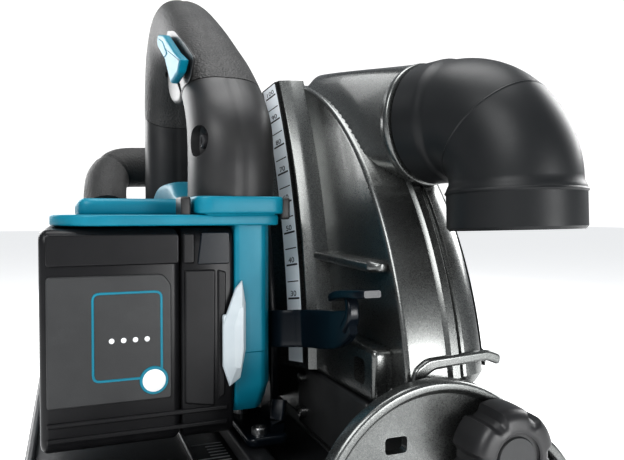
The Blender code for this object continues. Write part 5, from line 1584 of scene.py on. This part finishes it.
# ---- Battery -------------------------------------------------------------------------------------
@dataclass
class Battery:
    """The battery: two shells, raised fields, the charge display and the release button."""

    button: tuple = (-102.0, 50.4)

    def build(self) -> None:
        """Builds the shells, then the details of the rear face."""
        for name, node, edge, steps in (("battery_top_shell", "battery_upper", 1.6, 3),
                                        ("battery_bottom_shell", "battery_lower", 3.0, 5)):
            low, high = node_box(node)
            outline = rectangle((low[1] + 0.6, low[2]), (high[1], high[2]), 6)
            shell = Shape().plate(outline, low[0], high[0], Plane.SIDE, edge, steps)
            settle(shell.make(name), BATTERY_GREY, "battery", node)
        self.build_face()
        self.build_release()

    def build_face(self) -> None:
        """The label field, ribs and charge display on the rear face."""
        low, _ = node_box("battery_upper", "battery_lower")
        rear = low[1]
        fields = Shape()
        for outline, lift, edge in (
                (soften([(-90.5, 40), (-79, 38), (-78.6, 91), (-90.5, 91)], 1.2), -0.2, 0.6),
                (soften([(-77.8, 40), (-74.8, 42), (-74.4, 90), (-77.8, 91)], 0.8), 0.1, 0.6),
                (rectangle((-91, 93.5), (-86.6, 105), 1), -0.1, 0.6),
                (rectangle((-139, 93.5), (-92.4, 105), 1.5), -0.1, 0.6),
                (rectangle((-139, 30.6), (-74, 32.4), 0.4), -0.15, 0.4),
                (rectangle((-139, 36.1), (-74, 37.9), 0.4), -0.15, 0.4)):
            fields.plate(outline, rear + lift, rear + 2, Plane.FACE, edge)
        settle(fields.make("battery_fields"), BATTERY_GREY, "battery")
        wedge = Shape()
        outline = soften([(-85.6, 93), (-73, 93), (-73, 105.4), (-84, 105.4)], 1)
        wedge.plate(outline, rear + 0.2, rear + 1.2, Plane.FACE, 0.4)
        settle(wedge.make("battery_recess"), GLOSS, "battery")
        display = Shape()
        outline = soften([(-139, 43), (-95.5, 43), (-95.5, 86), (-98.5, 90), (-139, 90)], 1.5)
        display.plate(outline, rear - 0.15, rear + 2, Plane.FACE, 0.5)
        settle(display.make("display_field"), PANEL, "battery")
        frame_line = Shape()
        outer = rectangle((-124, 51), (-98.6, 84), 3)
        rings = [Plane.FACE.place(*inset(outer, d).T, np.full(len(outer), y))
                 for d, y in ((0, rear), (0.2, rear - 0.45), (0.9, rear - 0.45), (1.1, rear))]
        frame_line.rings(np.array(rings), closed=True)
        profile = soften([(4.2, rear + 0.5), (5.4, rear + 0.5), (5.2, rear - 0.7),
                          (4.2, rear - 0.7)], 0.2)
        frame_line.turned(profile, self.button, Plane.FACE, 48)
        settle(frame_line.make("display_outline"), TEAL, "battery")
        button = Shape()
        profile = [(0, rear + 0.5), (4.2, rear + 0.5), (4.2, rear - 0.9), (3.4, rear - 1.2),
                   (0, rear - 1.3)]
        button.turned(profile, self.button, Plane.FACE, 48)
        for step in range(4):
            lamp = circle(1.0, (-117 + step * 4.2, 66), 16)
            button.plate(lamp, rear - 0.4, rear + 0.5, Plane.FACE, 0.2)
        settle(button.make("display_button"), WHITE, "battery")

    def build_release(self) -> None:
        """The release button: a long hexagon with a ridge, whose face falls away to its tips."""
        low, high = node_box("battery_release")
        z0, z1, right = low[2] - 1, high[2] + 1, -67.2
        outline = np.array([(low[0] + 2.6, z0), (right - 2.2, z0 + 3), (right, z0 + 14),
                            (right, z1 - 9), (right - 1.4, z1), (right - 4.0, z1 - 3),
                            (low[0], z1 - 17), (low[0], z0 + 8)])
        ridge = outline * (0.45, 1) + (0.55 * (right - 2.2), 0)
        ridge[:, 1] = np.clip(ridge[:, 1], z0 + 7, z1 - 10)
        rings = [Plane.FACE.place(*loop.T, np.full(len(loop), y)) for loop, y in (
            (inset(outline, 0.4), low[1] + 3.4), (outline, low[1] + 3.0), (outline, low[1] + 1.9),
            (inset(outline, 0.3), low[1] + 1.5), (ridge, low[1] + 0.2), (inset(ridge, 0.3), low[1]))]
        button = Shape().rings(np.array(rings))
        base = rectangle((low[0] + 0.3, z0 + 9), (high[0], z1 - 13), 1)
        button.plate(base, low[1] + 2, high[1], Plane.FACE, 0.3)
        settle(button.make("release_button", 20), SILVER, "release", "battery_release")


# ---- Sole, quadrants, tilt frame -----------------------------------------------------------------
@dataclass
class Sole:
    """The cast sole: a rounded plate with a blade slot, edge rails, ribs and printed marks."""

    thick: float = 6.0

    def build(self) -> None:
        """Builds the plate and everything that is cast on it or printed on it."""
        low, high = node_box("sole_plate")
        outline = rectangle((low[0], low[1]), (high[0], high[1]), 12)
        plate = Shape().plate(outline, 0, self.thick, Plane.PLAN, 1.2).make("sole_casting")
        slot = Shape().plate(rectangle((-13, -145.7), (23, 145.7), 5), -2, 9, Plane.PLAN, 0.01, 1)
        groove = Shape().box((-108, low[1] - 2, -2), (-88, high[1] + 2, 3), 0.3)
        settle(carve(plate, slot, groove), SOLE_BLACK, "base", "sole_plate")

        rails = Shape()
        for x0, x1, top in ((low[0] + 1, low[0] + 4.5, 10.5), (-83.6, -81.2, 8.6),
                            (high[0] - 4, high[0] - 1, 8.6)):
            rails.box((x0, low[1] + 12, 5), (x1, high[1] - 12, top), 1.0)
        for y in (low[1] + 2, high[1] - 5):
            rails.box((low[0] + 12, y, 5), (-20, y + 3, 8.2), 1.0)
        settle(rails.make("sole_ribs"), SOLE_BLACK, "base")
        strip = Shape().box((-24.2, -140, 5.6), (-17.2, 150, 6.9), 0.5)
        settle(strip.make("slot_insert"), CAST, "base")
        marks = Shape()
        for step in range(42):
            length = 14 if step % 5 == 0 else 8
            y = -150 + step * 3.5
            shift = 12 if -90 < y < -44 else 0
            marks.box((-54 - length - shift, y, 5.95), (-54 - shift, y + 1.0, 6.14), 0.08)
        for step in range(30):
            y = -146 + step * 8
            start = high[0] - (16 if step % 5 else 20)
            marks.box((start, y, 5.95), (high[0] - 8, y + 0.8, 6.12), 0.08)
        settle(marks.make("sole_marks"), WHITE, "base")
        pad = Shape()
        for x0, x1 in ((low[0] + 8, -111), (-60, -30)):
            pad.box((x0, low[1] + 8, -0.02), (x1, high[1] - 8, 0.4), 0.1)
        settle(pad.make("glide_strips"), BLACK, "base")


@dataclass
class Quadrant:
    """An upright bevel quadrant: a rim with a shoulder, a recessed web and a curved slot."""

    name: str
    outward: int
    radius: float = 42.0
    slot_radius: float = 34.5
    horn: tuple = (-20.0, 14.5)
    horn_radius: float = 43.5
    recess: float = 2.2

    def build(self) -> None:
        """The half disc is a profile, thick at the rim, turned about the bevel axis.  Where the
        shoulder's circle lies further out, at a root of r^2 - 2 r across + (middle^2 - radius^2),
        the rim follows it.  Slot and window are cut through."""
        low, high = node_box(self.name)
        face, back = (low[1], high[1]) if self.outward < 0 else (high[1], low[1])
        out = self.outward
        rim, web = self.radius, face - self.recess * out
        profile = soften([(2, back), (rim - 0.5, back), (rim, back + 0.6 * out), (rim, face - 0.9 * out),
                          (rim - 0.9, face), (rim - 3.2, face), (rim - 4.0, face - 0.8 * out),
                          (rim - 4.6, web), (13, web), (11, face - 0.6 * out), (10, face - 0.2 * out),
                          (2, face - 0.2 * out)], 0.5, 3)
        horn = self.horn_radius
        a = np.radians(np.linspace(8.7, 178, 97))
        across = self.horn[0] * np.cos(a) + self.horn[1] * np.sin(a)
        root = np.sqrt(horn**2 - self.horn[0] ** 2 - self.horn[1] ** 2 + across**2)
        edge = np.maximum(self.radius, across + root)
        grow = (edge - self.radius)[:, None] * (profile[:, 0] > self.radius - 6)[None, :]
        radii = profile[None, :, 0] + grow
        height = np.maximum(radii * np.sin(a)[:, None], 6.2)
        rings = Plane.FACE.place(radii * np.cos(a)[:, None], height, profile[None, :, 1])
        casting = Shape().rings(rings).make(self.name + "_casting")
        slot = np.vstack([arc(self.slot_radius + 3.5, 39, 97, 32),
                          arc(self.slot_radius - 3.5, 97, 39, 32)])
        window = rectangle((-38.4, 35.6), (-30.4, 41), 1.4)
        second = soften([(-26, 9), (26, 9), (20, 20), (8, 24), (-14, 24), (-18, 12.5)], 3)
        tools = [Shape().plate(loop, low[1] - 2, high[1] + 2, Plane.FACE, 0.01, 1)
                 for loop in (slot, window)]
        levels = (face, face + 3.6) if out < 0 else (face - 3.6, face + 2)
        tools.append(Shape().plate(second, *levels, Plane.FACE, 0.2, 1))
        settle(carve(casting, *tools), GUNMETAL, "base", self.name)
        end = high[1] + (2 if out < 0 else 0)
        foot = Shape().box((low[0], low[1], 6.05), (self.radius, end, 9.5), 0.8)
        settle(foot.make(self.name + "_foot"), CAST, "base")
        seats = [(x, (low[1] + high[1]) / 2, 9.3) for x in (-36, 30)]
        screws(self.name + "_screws", "base", seats, 2.6, Plane.PLAN, 1)


@dataclass
class ClampKnob:
    """A lobed clamp knob on a bevel quadrant."""

    name: str
    body: str
    outward: int
    lobes: int = 6

    def build(self) -> None:
        """Its radius at angle a is the profile's, less a dip that follows cos(lobes a) and fades
        where the profile narrows to the crown."""
        low, high = node_box(self.name)
        x, _, z = joint_place(self.body + "_turn")
        start, end = grip_ends(low, high, self.outward)
        profile = spline([(0, 0), (12, 0), (15.4, 0.04), (16, 0.12), (15.9, 0.5), (15.4, 0.8),
                          (13.5, 0.95), (10, 1.0), (8.6, 0.97), (8.2, 0.9), (0, 0.9)], 72)
        a = even_angles(144)[:, None]
        dip = 2.0 * np.clip(np.cos(self.lobes * a) * 1.6 - 0.4, 0, 1) * ramp(profile[:, 0], 9, 5)
        r = np.maximum(profile[:, 0] - dip, 0)
        y = start + (end - start) * profile[:, 1]
        rings = Plane.FACE.place(x + r * np.cos(a), z + r * np.sin(a), y)
        knob = Shape().rings(rings, closed=True)
        settle(knob.make(self.name + "_grip"), BLACK, self.body, self.name)
        cap = Shape()
        level = start + (end - start) * 0.9
        top = level + 0.6 * self.outward
        profile = [(0, level), (7.4, level), (7, top), (0, top + 0.1 * self.outward)]
        cap.turned(profile, (x, z), Plane.FACE, 40)
        settle(cap.make(self.name + "_cap"), PANEL, self.body)


def grip_ends(low: np.ndarray, high: np.ndarray, outward: int) -> tuple[float, float]:
    """Returns where a knob's grip starts and ends along Y: it is the outer 14.7 mm of the node."""
    grip = 14.7
    return (low[1] + grip, low[1]) if outward < 0 else (high[1] - grip, high[1])


@dataclass
class TiltFrame:
    """The brackets that slide on the quadrants, and the bar between them."""

    def build(self) -> None:
        """The rear bracket with its tab and clamp hole, and the bar."""
        low, high = node_box("tilt_bracket_rear")
        outline = soften([(-66, 8.5), (-1, 8.5), (14, 24), (14, 44), (2, 44.5), (1, 53.5), (-13, 53.8),
                          (-14.4, 44.5), (-32, 27), (-66, 22)], 2.0)
        bracket = Shape().plate(outline, low[1], high[1], Plane.FACE, 0.9).make("rear_bracket")
        hole = Shape().rod(3.4, low[1] - 2, high[1] + 2, (0, Quadrant.slot_radius), Plane.FACE, 32)
        settle(carve(bracket, hole), CAST, "tilt_frame", "tilt_bracket_rear")
        low, high = node_box("tilt_bar")
        bar = Shape().box(tuple(low), tuple(high), 1.6)
        settle(bar.make("tie_bar"), SOLE_BLACK, "tilt_frame", "tilt_bar")


@dataclass
class Guard:
    """The lower guard: a rim between two side plates, a hub and raised ribs."""

    radius: float = 141.2
    rim: float = 2.4
    half: float = 7.5
    plate: float = 1.5

    def build(self) -> None:
        """A channel section turned about the arbor, and ribs that run towards its rim."""
        radius, half, wall = self.radius, self.half, self.plate
        inner = radius - self.rim
        section = [(26, -half), (radius - 1.5, -half), (radius, -half + 1.5), (radius, half - 1.5),
                   (radius - 1.5, half), (100, half), (100, half - wall), (inner, half - wall),
                   (inner, wall - half), (26, wall - half)]
        channel = Shape().turned(soften(section, 0.5, 2), ARBOR[1:], Plane.SIDE, 140, -3, -175)
        hub = rectangle((BladeCase.arbor_bore, -half - 2), (32, wall - half), 0.6)
        channel.turned(hub, ARBOR[1:], steps=64)
        settle(channel.make("guard_channel"), CAST, "guard", "lower_guard")
        ribs = Shape()
        for angle in range(-155, -20, 22):
            mid = np.linspace(64, 92, 12)
            c, s = cos(radians(angle)), sin(radians(angle))
            path = np.stack([np.full(12, -half - 0.3), ARBOR[1] + mid * c, ARBOR[2] + mid * s], -1)
            ribs.swept(path, rectangle((-2.6, -0.6), (2.6, 0.6), 0.5), (1, 0, 0))
        settle(ribs.make("guard_ribs"), CAST, "guard")


@dataclass
class Blade:
    """The blade's carbide tips; its plate keeps its solid."""

    teeth: int = 36

    def build(self) -> None:
        """A small wedge at each tooth's point."""
        tips = Shape()
        for tooth in range(self.teeth):
            a = 2 * pi * tooth / self.teeth
            spots = [(134.9, 0.0), (128.6, 0.0), (129.4, 0.022), (134.2, 0.03)]
            loop = np.array([(ARBOR[1] + r * cos(a + d), ARBOR[2] + r * sin(a + d)) for r, d in spots])
            tips.plate(loop, -1.3, 1.3, Plane.SIDE, 0.1, 1)
        settle(tips.make("carbide_tips"), GEAR_STEEL, "spindle")


# ---- Rest of the frame, stage --------------------------------------------------------------------
class Carried:
    """The CAD nodes that nothing replaces, in view or out of sight inside."""

    def build(self) -> None:
        """Gives each node its slot's finish."""
        slots = {part["node"]: part["material_slot"] for part in frame["record"]["subparts"]}
        for name, node in frame["nodes"].items():
            node.data.materials.clear()
            node.data.materials.append(FINISHES[slots[name]].material())
            log.info("%s keeps its solid in %s", name, slots[name])


class Stage:
    """A pale floor, soft lights and the camera."""

    def build(self) -> None:
        """Builds them round the saw."""
        low, _ = CAD_BOX
        mesh = bpy.data.meshes.new("floor")
        size, z = 9.0, low[2] - 0.001
        corners = [(-size, -size, z), (size, -size, z), (size, size, z), (-size, size, z)]
        mesh.from_pydata(corners, [], [(0, 1, 2, 3)])
        floor = bpy.data.objects.new("floor", mesh)
        bpy.context.scene.collection.objects.link(floor)
        tree = Tree("pale_floor")
        tone = tree.blend(tree.noise(60, 3), (0.86, 0.86, 0.86), (0.82, 0.82, 0.82))
        mesh.materials.append(tree.finish(Base_Color=tone, Roughness=0.6, Emission_Color=tone,
                                          Emission_Strength=0.62))
        self.lights()
        self.camera()

    def lights(self) -> None:
        """A bright world behind the saw and four soft boxes."""
        world = bpy.data.worlds.new("studio")
        bpy.context.scene.world = world
        world.use_nodes = True
        nodes, links = world.node_tree.nodes, world.node_tree.links
        ground = nodes["Background"]
        ground.inputs["Color"].default_value = (0.62, 0.66, 0.70, 1)
        ground.inputs["Strength"].default_value = 0.34
        backdrop = nodes.new("ShaderNodeBackground")
        backdrop.inputs["Color"].default_value = (1, 1, 1, 1)
        backdrop.inputs["Strength"].default_value = 1.0
        seen = nodes.new("ShaderNodeLightPath")
        mix = nodes.new("ShaderNodeMixShader")
        links.new(seen.outputs["Is Camera Ray"], mix.inputs[0])
        links.new(ground.outputs[0], mix.inputs[1])
        links.new(backdrop.outputs[0], mix.inputs[2])
        links.new(mix.outputs[0], nodes["World Output"].inputs["Surface"])
        boxes = (
            ("key", (-0.9, -0.9, 1.05), (0, -0.05, 0.1), 0.8, 15),
            ("low_fill", (0.5, -1.2, 0.1), (0.05, 0, 0.08), 0.4, 7),
            ("top", (0.1, 0.1, 1.3), (0, 0, 0.1), 0.8, 11),
            ("side", (1.3, 0.2, 0.7), (0.05, 0, 0.1), 0.7, 12),
            ("front", (-0.6, 1.3, 0.6), (0, 0, 0.1), 0.8, 10),
        )
        for name, place, target, size, power in boxes:
            light = bpy.data.lights.new(name, "AREA")
            light.shape, light.size, light.energy = "SQUARE", size, power
            obj = bpy.data.objects.new(name, light)
            obj.location = place
            obj.rotation_euler = (Vector(target) - Vector(place)).to_track_quat("-Z", "Y").to_euler()
            bpy.context.scene.collection.objects.link(obj)

    def camera(self) -> None:
        """The camera stands behind the saw's left rear corner and looks along it, a little down."""
        lens = bpy.data.cameras.new("camera")
        lens.lens, lens.sensor_width = 35.7, 36
        lens.clip_start = 0.01
        camera = bpy.data.objects.new("camera", lens)
        camera.location = (-0.0713, -0.3263, 0.1120)
        camera.rotation_euler = (radians(90 - 1.4), 0, radians(-21.5))
        bpy.context.scene.collection.objects.link(camera)
        bpy.context.scene.camera = camera
        bpy.context.scene.view_settings.view_transform = "Standard"
        bpy.context.scene.view_settings.look = "Medium High Contrast"


def main() -> None:
    """Builds the stage, then every sub-assembly."""
    Stage().build()
    Carried().build()
    parts = [BladeCase(), DepthScale(), ClampLever(), DustElbow(), Grip(), Body(), Motor(),
             FrontHandle(), Battery(), Sole(), Quadrant("bevel_quadrant_rear", -1),
             Quadrant("bevel_quadrant_front", 1),
             ClampKnob("rear_knob", "rear_clamp", -1), ClampKnob("front_knob", "front_clamp", 1),
             TiltFrame(), Guard(), Blade()]
    for part in parts:
        part.build()


if __name__ == "__main__":
    main()
